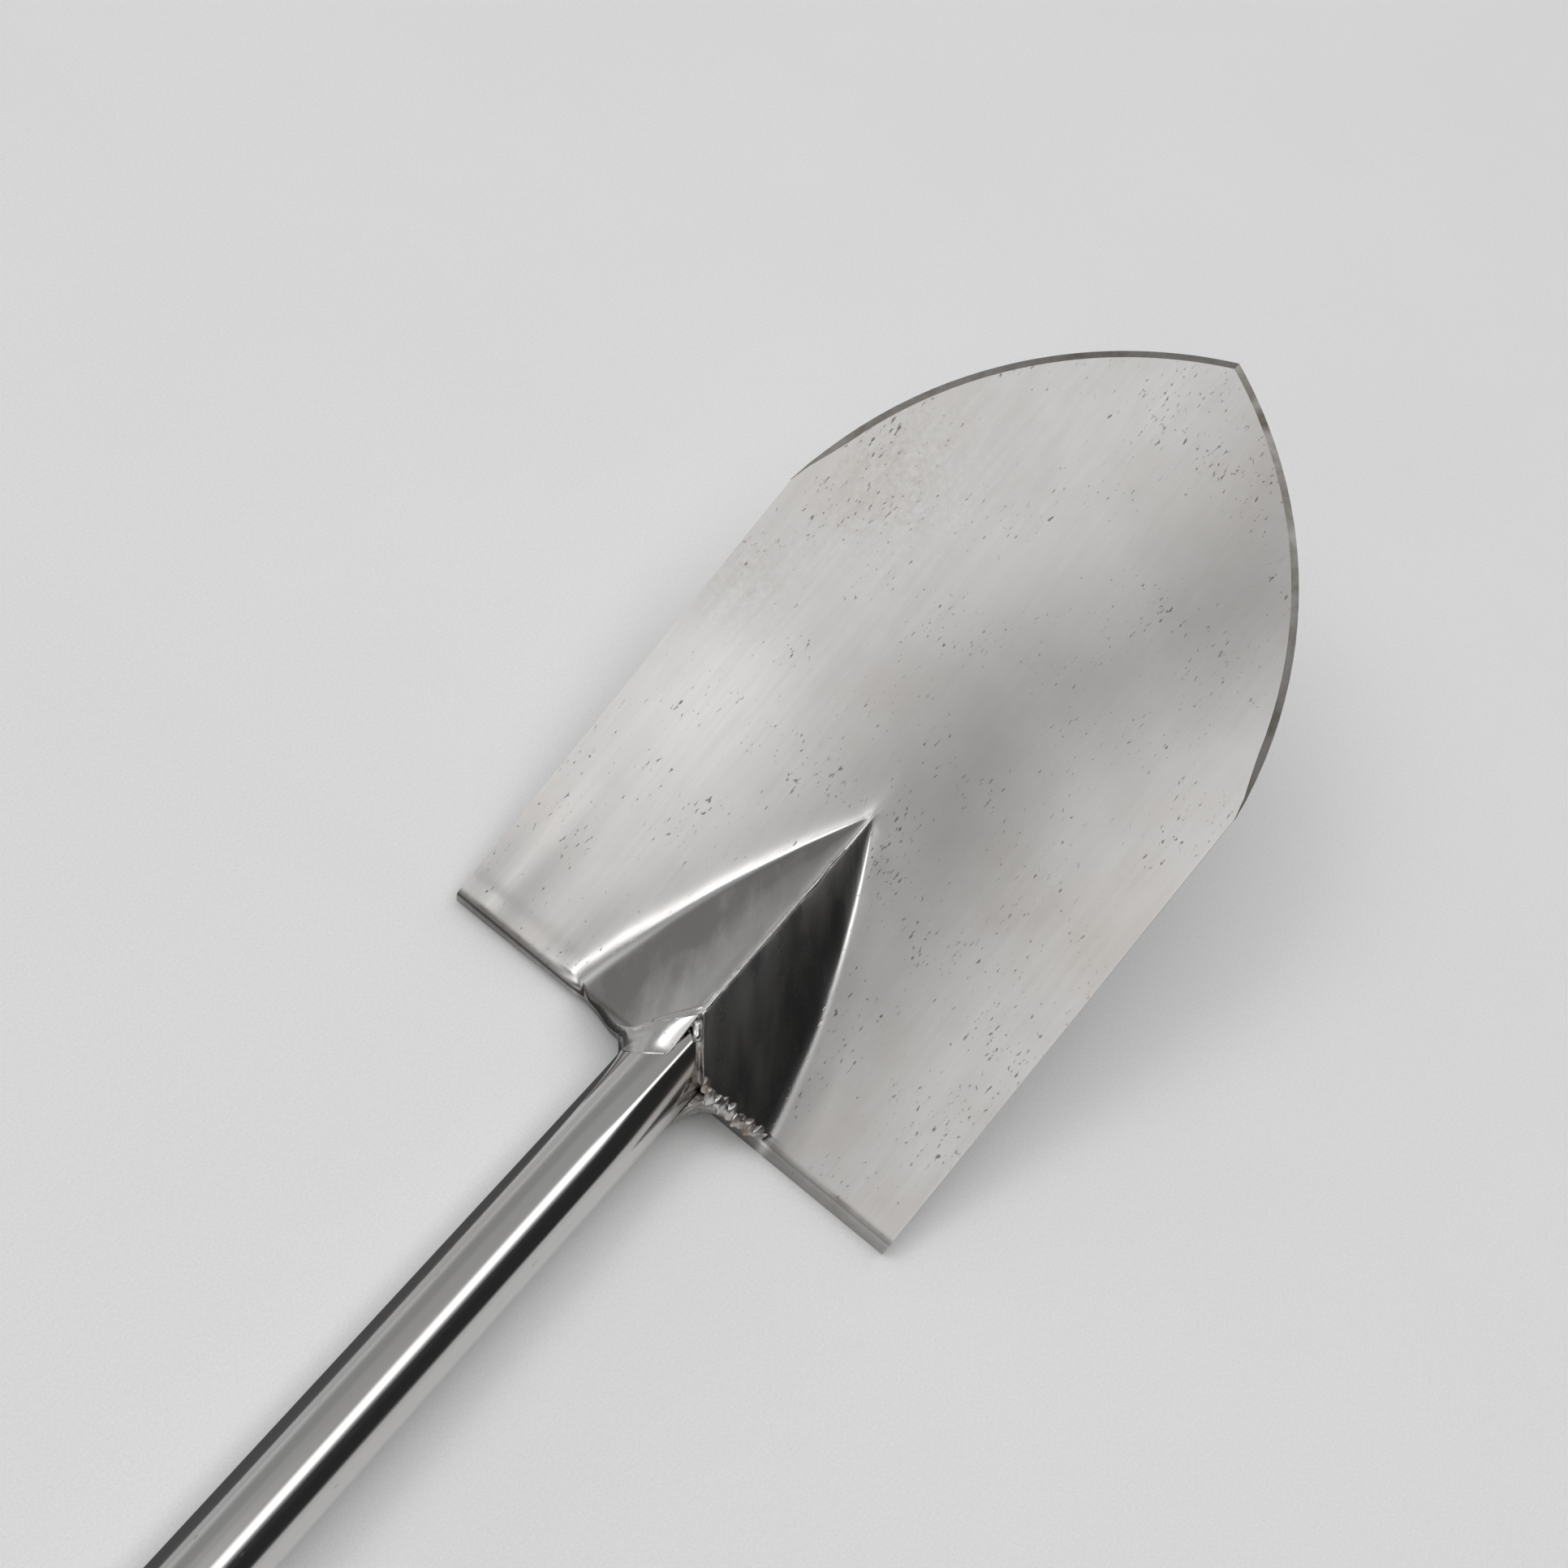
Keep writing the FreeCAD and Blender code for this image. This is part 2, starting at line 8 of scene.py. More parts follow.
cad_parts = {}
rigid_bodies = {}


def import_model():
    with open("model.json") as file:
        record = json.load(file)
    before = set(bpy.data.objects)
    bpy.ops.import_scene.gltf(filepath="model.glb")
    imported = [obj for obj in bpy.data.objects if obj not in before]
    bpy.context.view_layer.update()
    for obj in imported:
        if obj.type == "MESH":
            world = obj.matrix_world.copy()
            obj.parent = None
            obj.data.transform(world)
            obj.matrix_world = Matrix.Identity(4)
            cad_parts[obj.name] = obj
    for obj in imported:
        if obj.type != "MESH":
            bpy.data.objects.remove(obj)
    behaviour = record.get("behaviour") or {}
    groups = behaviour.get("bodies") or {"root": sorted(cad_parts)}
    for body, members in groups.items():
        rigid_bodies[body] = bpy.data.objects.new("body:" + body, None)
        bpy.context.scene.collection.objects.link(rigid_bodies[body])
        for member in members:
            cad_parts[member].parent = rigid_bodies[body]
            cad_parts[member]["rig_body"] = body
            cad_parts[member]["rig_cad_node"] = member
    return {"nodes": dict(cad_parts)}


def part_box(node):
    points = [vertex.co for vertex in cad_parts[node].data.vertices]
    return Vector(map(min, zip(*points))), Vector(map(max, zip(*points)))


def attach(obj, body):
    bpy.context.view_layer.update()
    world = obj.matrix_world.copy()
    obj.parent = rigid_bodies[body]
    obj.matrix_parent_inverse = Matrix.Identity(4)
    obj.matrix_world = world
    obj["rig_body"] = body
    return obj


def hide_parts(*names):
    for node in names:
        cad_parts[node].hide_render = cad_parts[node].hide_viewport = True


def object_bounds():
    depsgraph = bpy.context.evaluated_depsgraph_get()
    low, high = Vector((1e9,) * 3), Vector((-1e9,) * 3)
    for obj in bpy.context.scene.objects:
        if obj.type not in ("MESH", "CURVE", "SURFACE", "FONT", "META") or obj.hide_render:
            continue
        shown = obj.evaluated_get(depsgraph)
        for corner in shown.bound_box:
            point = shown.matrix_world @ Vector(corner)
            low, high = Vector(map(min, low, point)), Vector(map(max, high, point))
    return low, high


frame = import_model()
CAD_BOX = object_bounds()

bl_info = {
    "name": "Detecting shovel",
    "version": (1, 0, 0),
    "blender": (4, 5, 0),
    "location": "3D View > Sidebar > Shovel",
    "description": "Builds the finish of a stainless digging shovel round its CAD frame",
    "category": "Add Mesh",
}

# ---------------------------------------------------------------- properties


def length(name, description, default):
    return FloatProperty(name=name, description=description, default=default, unit="LENGTH")


def number(name, description, default):
    return FloatProperty(name=name, description=description, default=default)


def angle(name, description, default):
    return FloatProperty(
        name=name, description=description, default=math.radians(default), subtype="ANGLE"
    )


def colour(name, description, default):
    return FloatVectorProperty(
        name=name, description=description, default=default, subtype="COLOR", size=3, min=0, max=1
    )


class BladeSizes(bpy.types.PropertyGroup):
    reach: length("Blade length", "Heel to tip", 0.318)
    heel_width: length("Heel width", "Across the heel", 0.190)
    shoulder_width: length("Shoulder width", "Across the two shoulders", 0.195)
    shoulder_reach: length("Shoulder reach", "Heel to the shoulders", 0.186)
    rim_radius: length("Rim radius", "Curved rim from shoulder to tip", 0.168)
    sheet: length("Sheet", "Sheet thickness", 0.002)
    side_rise: length("Side rise", "Rise of the sides at the shoulders", 0.009)
    tip_rise: length("Tip rise", "Rise of the tip", 0.013)
    bevel_width: length("Bevel width", "Ground bevel, across the face", 0.0028)
    bevel_depth: length("Bevel depth", "Ground bevel, down the rim", 0.0012)
    tread_depth: length("Tread depth", "Heel line to the tread's edge", 0.008)
    tread_angle: angle("Tread angle", "Fold of the right tread below the face", 68)
    left_tread: angle("Left tread", "How much further the left tread is folded", 9)
    fold_radius: length("Fold radius", "Outside radius of the fold", 0.003)


class FrogSizes(bpy.types.PropertyGroup):
    reach: length("Frog length", "Heel to the frog's point", 0.109)
    width: length("Frog width", "Across the frog at the heel", 0.081)
    bulge: length("Foot bulge", "How far each foot bows out", 0.005)
    point: length("Point", "Half width of the blunt point", 0.0012)
    ridge_height: length("Ridge height", "Ridge end above the face", 0.0255)
    ridge_start: length("Ridge start", "Heel to the ridge end", 0.020)
    notch_width: length("Notch width", "Across the notch round the tube", 0.032)
    foot_fillet: length("Foot fillet", "Softness of the fold along each foot", 0.0020)
    right_fillet: number("Right fillet", "Right foot's softness against the left's", 1.5)
    ridge_round: length("Ridge round", "Softness of the ridge", 0.0007)
    lobe: length("Left lobe", "How far the ground left side swells past the heel", 0.003)
    weld_width: length("Ridge weld", "Width of the weld along the ridge", 0.003)
    weld_stop: length("Weld stop", "End of that weld, back from the point", 0.014)


class ShaftSizes(bpy.types.PropertyGroup):
    tube_outer: length("Tube", "Outside diameter of the tubes", 0.028)
    tube_wall: length("Tube wall", "Wall of the tubes", 0.0015)
    lift_angle: angle("Lift", "Shaft above the plane of the blade", 25)
    height_at_heel: length("Height at heel", "Shaft axis above the face at the heel", 0.012)
    peak: length("Nose peak", "Rise of the pressed ridge on the nose", 0.0022)
    peak_fade: length("Peak fade", "Stretch over which the nose turns round again", 0.075)


class HandleSizes(bpy.types.PropertyGroup):
    ribs: IntProperty(name="Ribs", description="Ribs on each grip", default=11, min=3)
    rib_depth: length("Rib depth", "Depth of the grooves between ribs", 0.0014)
    bead_width: length("End bead", "Width of the bead at the grip's outer end", 0.004)
    bead_rise: length("Bead rise", "Rise of that bead above the sleeve", 0.0015)
    plug_flange: length("Plug flange", "Plug's outer disc", 0.0025)
    weld_bead: length("Weld bead", "Radius of the bead under the crossbar", 0.0019)


class Finishes(bpy.types.PropertyGroup):
    steel: colour("Steel", "Clean stainless steel", (0.62, 0.615, 0.61))
    patina: colour("Patina", "Brownish haze on the blade", (0.50, 0.45, 0.41))
    pit: colour("Pits", "Specks of dirt and rust", (0.10, 0.085, 0.07))
    # Painted highlight: light tone laid on a spot of the blade and along the frog's feet as bright
    # reflections.
    bright: colour("Bright", "Cleanest, polished steel", (0.86, 0.855, 0.85))
    stain: colour("Stain", "Brownish speckled stain", (0.42, 0.345, 0.28))
    # Painted shade: dark tone laid down the middle of the blade, on the frog's flanks and at the left
    # heel corner.
    painted_blade_shade: colour("Worn", "Duller steel down the middle of the blade", (0.27, 0.265, 0.26))
    # Partly real dirt, partly painted shade: this tone also darkens the whole ground bevel as its dark
    # reflection.
    grime_and_shade: colour("Grime", "Dirt along edges and in corners", (0.17, 0.15, 0.13))
    heat: colour("Heat tint", "Straw and brown tint beside welds", (0.30, 0.22, 0.15))
    rubber: colour("Rubber", "Grips", (0.030, 0.030, 0.032))
    plastic: colour("Plastic", "End plugs", (0.045, 0.045, 0.048))
    floor: colour("Floor", "Pale floor", (0.84, 0.84, 0.84))


class StageSizes(bpy.types.PropertyGroup):
    camera_place: FloatVectorProperty(
        name="Camera", description="Camera position", default=(-0.1395, -0.0811, 0.7034), unit="LENGTH"
    )
    camera_aim: FloatVectorProperty(
        name="Aim",
        description="Point in the middle of view",
        default=(0.3010, 0.0331, 0.040),
        unit="LENGTH",
    )
    camera_roll: angle("Roll", "Turn of the camera about its own axis", 26.3)
    camera_lens: number("Lens", "Focal length in millimetres", 52.4)
    daylight: number("Daylight", "Strength of the plain surroundings", 0.42)
    backdrop: number("Backdrop", "Strength of the room where the camera sees it", 0.64)
    overhead: number("Overhead", "Strength added by the wide overhead light", 0.50)
    strip: number("Strip", "Strength added by the narrow light", 1.5)
    rims: number("Rims", "Strength added by a slim light on the left", 2.4)
    key: number("Key", "Power of the soft key lamp in watts", 12.5)


def sizes(name):
    """One of the property groups above, as it stands on the scene."""
    return getattr(bpy.context.scene, "shovel_" + name)


# ---------------------------------------------------------------- frames


def handle_centre():
    low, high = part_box("crossbar")
    return (low + high) / 2


def shaft_tilt():
    """How far the shaft sinks from the crossbar towards its nose."""
    low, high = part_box("shaft")
    handle = handle_centre()
    nose_height = low.z + sizes("shaft").tube_outer / 2
    return math.atan2(handle.z - nose_height, high.x - handle.x)


def shaft_frame():
    """Origin at the crossbar's centre, X along the shaft towards the blade, Z up."""
    return Matrix.Translation(handle_centre()) @ Matrix.Rotation(shaft_tilt(), 4, "Y")


def blade_pitch():
    return sizes("shaft").lift_angle - shaft_tilt()


def blade_frame():
    """Origin at the middle of the heel line, X to the tip, Y left, Z out of the face."""
    blade = sizes("blade")
    rise = blade.tread_depth * math.sin(blade.tread_angle + blade_pitch())
    heel = Vector((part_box("neck_weld_left")[1].x, 0, rise))
    return Matrix.Translation(heel) @ Matrix.Rotation(-blade_pitch(), 4, "Y")


def side_frame(side):
    """Origin at the crossbar's centre, Z out of its left (1) or right (-1) end, X up."""
    turn = Matrix.Rotation(-side * math.pi / 2, 4, "X")
    return Matrix.Translation(handle_centre()) @ turn


# ---------------------------------------------------------------- mesh helpers


def ramp(low, high, value):
    """Smooth step from 0 below low to 1 above high."""
    share = min(max((value - low) / (high - low), 0), 1)
    return share * share * (3 - 2 * share)


def bump(centre, width, value):
    return math.exp(-(((value - centre) / width) ** 2))


def start_piece(name, add, **settings):
    """Adds a primitive with nothing else selected, and names it."""
    bpy.ops.object.select_all(action="DESELECT")
    add(**settings)
    piece = bpy.context.object
    piece.name = piece.data.name = name
    return piece


def start_grid(name, rows, columns):
    """A flat grid one metre square, its rows along X and its columns along Y."""
    add = bpy.ops.mesh.primitive_grid_add
    return start_piece(name, add, x_subdivisions=rows, y_subdivisions=columns, size=1)


def start_ball(name, segments, rings):
    add = bpy.ops.mesh.primitive_uv_sphere_add
    return start_piece(name, add, segments=segments, ring_count=rings, radius=1)


def pick(piece):
    """Leaves one piece selected and active."""
    bpy.ops.object.select_all(action="DESELECT")
    piece.select_set(True)
    bpy.context.view_layer.objects.active = piece


def in_edit_mode(piece, work):
    """Runs mesh operators on a piece, which is left selected in object mode."""
    pick(piece)
    bpy.ops.object.mode_set(mode="EDIT")
    work()
    bpy.ops.object.mode_set(mode="OBJECT")


def select_vertices(piece, chosen):
    """Selects vertices by number and nothing else, in object mode."""
    mesh = piece.data
    for group, numbers in ((mesh.vertices, set(chosen)), (mesh.edges, ()), (mesh.polygons, ())):
        for element in group:
            element.select = element.index in numbers


def face_outwards():
    bpy.ops.mesh.select_all(action="SELECT")
    bpy.ops.mesh.normals_make_consistent(inside=False)


def apply_modifier(piece, kind, **settings):
    modifier = piece.modifiers.new(kind.title(), kind)
    for name, value in settings.items():
        setattr(modifier, name, value)
    with bpy.context.temp_override(object=piece, active_object=piece):
        bpy.ops.object.modifier_apply(modifier=modifier.name)


def shade(piece, sharp_angle):
    """Smooth shading that breaks at edges sharper than sharp_angle degrees."""
    pick(piece)
    bpy.ops.object.shade_smooth_by_angle(angle=math.radians(sharp_angle))


def settle(piece, place, nodes, material):
    """Puts a finished mesh in its place, inside the CAD's box, to stand for its nodes."""
    piece.data.transform(place)
    low, high = CAD_BOX
    for vertex in piece.data.vertices:
        vertex.co = [min(max(value, least), most) for value, least, most in zip(vertex.co, low, high)]
    piece.data.update()
    if material:
        piece.data.materials.clear()
        piece.data.materials.append(material)
    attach(piece, "root")
    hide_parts(*nodes)


def turned(name, outline, sides=96):
    """Turns an outline of (along, radius) pairs about local Z by extruding ring after ring."""
    along, radius = outline[0]
    add = bpy.ops.mesh.primitive_circle_add
    ring = start_piece(name, add, vertices=sides, radius=radius, location=(0, 0, along))

    def grow():
        reached, current = along, radius
        bpy.ops.mesh.select_all(action="SELECT")
        for next_along, next_radius in outline[1:]:
            step = {"value": (0, 0, next_along - reached)}
            bpy.ops.mesh.extrude_region_move(TRANSFORM_OT_translate=step)
            factor = next_radius / current
            centre = (0, 0, next_along)
            bpy.ops.transform.resize(value=(factor, factor, 1), center_override=centre)
            reached, current = next_along, next_radius

    bpy.context.view_layer.update()
    ring.data.transform(ring.matrix_world)
    ring.matrix_world = Matrix.Identity(4)
    in_edit_mode(ring, grow)
    return ring


def join_end_rings():
    """Joins the last ring of a turned outline to its first."""
    bpy.ops.mesh.select_all(action="DESELECT")
    bpy.ops.mesh.select_non_manifold(extend=False)
    bpy.ops.mesh.bridge_edge_loops()
    face_outwards()


def close_ends(piece):
    """Fills open rings and merges doubles, then faces everything outwards."""

    def work():
        bpy.ops.mesh.select_all(action="SELECT")
        bpy.ops.mesh.remove_doubles(threshold=1e-6)
        bpy.ops.mesh.select_all(action="DESELECT")
        bpy.ops.mesh.select_non_manifold(extend=False)
        bpy.ops.mesh.edge_face_add()
        face_outwards()

    in_edit_mode(piece, work)


# ---------------------------------------------------------------- blade shape


def dish_height(x):
    blade = sizes("blade")
    return blade.tip_rise * (x / blade.reach) ** 2


def foot_of_frog(x):
    """Distance from the middle line to the frog's foot."""
    frog = sizes("frog")
    share = min(max(x / frog.reach, 0), 1)
    bow = 4 * frog.bulge * share * (1 - share)
    return frog.point + (frog.width / 2 - frog.point) * (1 - share) + bow


def ridge_of_frog(x):
    frog = sizes("frog")
    end = dish_height(frog.reach)
    return end + (frog.ridge_height - end) * (frog.reach - x) / (frog.reach - frog.ridge_start)


def plate_height(x, y):
    """The dished plate with its slight pressing marks beside the frog."""
    blade = sizes("blade")
    share = min(x / blade.shoulder_reach, 1)
    full = blade.side_rise - dish_height(blade.shoulder_reach)
    hollow = full * share * share * (3 - 2 * share)
    height = dish_height(x) + hollow * (2 * y / blade.shoulder_width) ** 2
    beside = abs(y) - foot_of_frog(x)
    if y > 0:
        height -= 0.0015 * bump(0.008, 0.0075, beside) * bump(0.010, 0.026, x)
        height += 0.0005 * bump(0.016, 0.005, blade.heel_width / 2 - y) * bump(0.0, 0.06, x)
        height -= 0.0005 * bump(0.007, 0.004, x) * ramp(0.0, 0.012, beside)
    else:
        height -= 0.0007 * bump(0.011, 0.006, beside) * bump(0.022, 0.022, x)
    height -= 0.0004 * bump(0.006, 0.008, beside) * ramp(0.02, 0.05, x) * (1 - ramp(0.09, 0.14, x))
    wave = noise.noise(Vector((x * 14, y * 19, 3.7))) + 0.5 * noise.noise(Vector((x * 31, y * 37, 8.1)))
    return height + 0.00022 * wave * ramp(0.004, 0.05, x)


def face_height(x, y):
    """The face: plate and frog, run together softly along the frog's feet."""
    frog = sizes("frog")
    plate = plate_height(x, y)
    if x > frog.reach + 0.02:
        return plate
    soft = frog.ridge_round * (2.4 if y > 0 else 0.8)
    away = math.hypot(y, soft) - soft
    ridge = ridge_of_frog(x)
    roof = ridge - away * max(ridge, 0.001) / foot_of_frog(x)
    swell = (0.0013 if y > 0 else 0.0008) * (1 - min(x / frog.reach, 1))
    roof += swell * math.sin(math.pi * min(abs(y) / foot_of_frog(x), 1))
    gap = plate - roof
    fillet = frog.foot_fillet * (1 if y > 0 else frog.right_fillet)
    return (plate + roof + math.hypot(gap, fillet)) / 2 - fillet**2 / 40 / (abs(gap) + fillet)


def face_slope(x, y):
    """Unit tangent of the face towards the tip."""
    step = 0.0005
    rise = face_height(x + step, y) - face_height(x - step, y)
    return Vector((2 * step, 0, rise)).normalized()


def rear_edge(y):
    """Where the face turns down at the back: at the notch, at the heel or just before the fold."""
    frog = sizes("frog")
    away = abs(y)
    half = frog.notch_width / 2
    slope = frog.ridge_start / half
    notch = slope * (half - away)
    edge = (notch + math.hypot(notch, 0.002)) / 2
    if y > 0:
        edge -= frog.lobe * bump(0.021, 0.009, away) * ramp(half - 0.008, half, away)
    foot = frog.width / 2
    return edge + 0.004 * ramp(foot - 0.006, foot + 0.001, away)


def rear_round(y):
    """Rounding of that edge: generous on the left, where it was ground, and small on the right."""
    foot = sizes("frog").width / 2
    full = 0.0035 if y > 0 else 0.0011
    return full * (1 - ramp(foot - 0.012, foot - 0.001, abs(y))) * ramp(0.004, 0.016, abs(y)) + 1e-5


def nose_reach():
    """How far the nose lies beyond the point of the shaft's axis above the heel."""
    axis = blade_frame() @ Vector((0, 0, sizes("shaft").height_at_heel))
    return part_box("shaft")[1].x - axis.x


def nose_bulge(turn, back):
    """Rise of the tube's surface at an angle from its crown, some way back from the nose."""
    shaft = sizes("shaft")
    aside = turn + 0.20
    ridge = shaft.peak * math.exp(-math.hypot(aside, 0.08) / 0.32) * math.exp(-(aside**2) / 0.5)
    flare = 0.0011 * bump(1.45, 0.6, turn) * ramp(-0.03, 0.0, 0.012 - back)
    flank = 0.0006 * bump(1.2, 0.45, -turn)
    return (ridge + flare - flank) * ramp(-shaft.peak_fade, -0.012, -back)


def rim_point(share, inset):
    """A point of the left rim: share 0 at the tip, 1 at the shoulder, inset from the outline."""
    blade = sizes("blade")
    shoulder = Vector((blade.shoulder_reach, blade.shoulder_width / 2))
    tip = Vector((blade.reach, 0))
    chord = tip - shoulder
    reach = math.sqrt(blade.rim_radius**2 - chord.length_squared / 4)
    inward = Vector((chord.y, -chord.x)).normalized()
    centre = (shoulder + tip) / 2 + inward * reach
    radius = blade.rim_radius - inset
    first = math.asin(-centre.y / radius)
    last = math.atan2(shoulder.y - centre.y, shoulder.x - centre.x)
    turn = first + (last - first) * share
    return Vector((centre.x + radius * math.cos(turn), centre.y + radius * math.sin(turn)))


ROWS = {"tread": 6, "fold": 8, "wall": 12, "frog": 72, "body": 64}
COLUMNS = {"frog": 24, "plate": 30}


def column_share(column):
    """(side, zone, share) of a column counted from the right side of the blade."""
    half = COLUMNS["frog"] + COLUMNS["plate"]
    away = abs(column - half)
    side = 1 if column > half else -1
    if away <= COLUMNS["frog"]:
        return side, "frog", (1 - math.cos(math.pi * away / COLUMNS["frog"])) / 2
    return side, "plate", ((away - COLUMNS["frog"]) / COLUMNS["plate"]) ** 1.6


def across(zone, share, x):
    """Distance from the middle line of a column at one distance from the heel."""
    blade = sizes("blade")
    foot = foot_of_frog(x)
    if zone == "frog":
        return share * foot
    taper = (blade.shoulder_width - blade.heel_width) / 2 / blade.shoulder_reach
    return foot + share * (blade.heel_width / 2 + taper * x - foot)


def share_of_rim(zone, share):
    """Where a column meets the curved rim: the frog's columns take its first tenth."""
    return 0.1 * share if zone == "frog" else 0.1 + 0.9 * share


def bevel_share(rim_share):
    """The bevel is full along the rim and runs out at the shoulders."""
    return 1 - 0.9 * ramp(0.86, 1.0, rim_share)


def face_point(row, column):
    """Place of a grid vertex on the face, from the fold of the heel to the rim."""
    blade, frog = sizes("blade"), sizes("frog")
    side, zone, share = column_share(column)
    if row <= ROWS["frog"]:
        step = (row / ROWS["frog"]) ** 1.3
        away = across(zone, share, frog.reach * step)
        start = rear_edge(side * away)
        x = start + (frog.reach - start) * step
    else:
        rim_share = share_of_rim(zone, share)
        on_rim = row > ROWS["frog"] + ROWS["body"]
        inset = 0 if on_rim else blade.bevel_width * bevel_share(rim_share)
        end = rim_point(rim_share, inset)
        step = min((row - ROWS["frog"]) / ROWS["body"], 1)
        away = across(zone, share, frog.reach)
        x = frog.reach + (end.x - frog.reach) * step
        away += (end.y - away) * step
    y = side * away
    z = face_height(x, y)
    radius = rear_round(y)
    from_edge = x - rear_edge(y)
    if from_edge < radius:
        z -= radius - math.sqrt(max(radius**2 - (radius - from_edge) ** 2, 0))
    return Vector((x, y, z))


def back_point(row, column):
    """Place of a grid vertex behind the face: closing wall, then the fold, then the tread."""
    blade = sizes("blade")
    top = face_point(0, column)
    wall, fold, tread = ROWS["wall"], ROWS["fold"], ROWS["tread"]
    turned_down = blade.tread_angle + (blade.left_tread if top.y > 0 else 0)
    down = Vector((-math.cos(turned_down), 0, -math.sin(turned_down)))
    foot = sizes("frog").width / 2
    depth = blade.tread_depth
    if top.y > 0:
        depth *= 0.55 + 0.45 * ramp(foot - 0.004, blade.heel_width / 2 - 0.01, top.y)
    depth *= 1 + 0.03 * noise.noise(Vector((top.y * 130, 5.0, 2.0)))
    beside_notch = abs(top.y) > sizes("frog").notch_width / 2
    corner = Vector((min(top.x, 0) if beside_notch else 0, top.y, 0))
    incoming = (corner - top).normalized()
    turn = incoming.angle(down, 0.01)
    reach = min(blade.fold_radius * math.tan(turn / 2), (corner - top).length * 0.7)
    first, last = corner - incoming * reach, corner + down * reach
    if row <= wall:
        return top.lerp(first, row / wall)
    if row <= wall + fold:
        share = (row - wall) / fold
        one, two = first.lerp(corner, share), corner.lerp(last, share)
        return one.lerp(two, share)
    share = (row - wall - fold) / tread
    return last.lerp(corner + down * depth, share)


def shape_sheet(grid, back_rows, front_rows, columns):
    """Moves each vertex of a plain grid to its place on the sheet."""
    for vertex in grid.data.vertices:
        row = round((vertex.co.x + 0.5) * (back_rows + front_rows)) - back_rows
        column = round((vertex.co.y + 0.5) * columns)
        vertex.co = face_point(row, column) if row >= 0 else back_point(-row, column)


WALL_PLAY = 0.00005  # between the closing wall and the tube
TUBE_SPAN = -0.024  # how far inside the frog the tube's room reaches, along the shaft
WALL_SPAN = 0.0195  # how far from the heel the sheet can lie in that room


def tube_room(point):
    """(whether a point of the sheet lies in the tube's room, foot of its distance to the axis)."""
    shaft = sizes("shaft")
    along = Vector((-math.cos(shaft.lift_angle), 0, math.sin(shaft.lift_angle)))
    start = Vector((0, 0, shaft.height_at_heel))
    reach = (point - start).dot(along)
    foot = start + along * reach
    near = (point - foot).length < shaft.tube_outer / 2 + WALL_PLAY
    return near and reach > TUBE_SPAN and point.x < WALL_SPAN, foot


def open_for_tube(sheet):
    """Cuts the closing wall away where the tube comes through and fits the rest round it."""
    select_vertices(sheet, [v.index for v in sheet.data.vertices if tube_room(v.co)[0]])

    def trim():
        bpy.ops.mesh.select_mode(type="VERT")
        bpy.ops.mesh.select_less()
        bpy.ops.mesh.delete(type="VERT")

    in_edit_mode(sheet, trim)
    radius = sizes("shaft").tube_outer / 2 + WALL_PLAY
    for vertex in sheet.data.vertices:
        inside, foot = tube_room(vertex.co)
        if inside:
            vertex.co = foot + (vertex.co - foot).normalized() * radius


def grind_bevel(sheet, rim):
    """Lowers the outer edge of the face side along the rim."""
    blade = sizes("blade")
    for index, share in rim.items():
        sheet.data.vertices[index].co.z -= blade.bevel_depth * bevel_share(share)


def rim_shares(sheet):
    """Numbers of the vertices on the outline's curved rim, with their share from the tip."""
    found, shares = {}, []
    for column in range(2 * (COLUMNS["frog"] + COLUMNS["plate"]) + 1):
        side, zone, share = column_share(column)
        rim_share = share_of_rim(zone, share)
        point = rim_point(rim_share, 0)
        shares.append((Vector((point.x, side * point.y)), rim_share))
    for vertex in sheet.data.vertices:
        if vertex.co.x < sizes("blade").shoulder_reach - 0.001:
            continue
        for point, share in shares:
            if (vertex.co.xy - point).length < 1e-5:
                found[vertex.index] = share
                break
    return found


# ---------------------------------------------------------------- materials


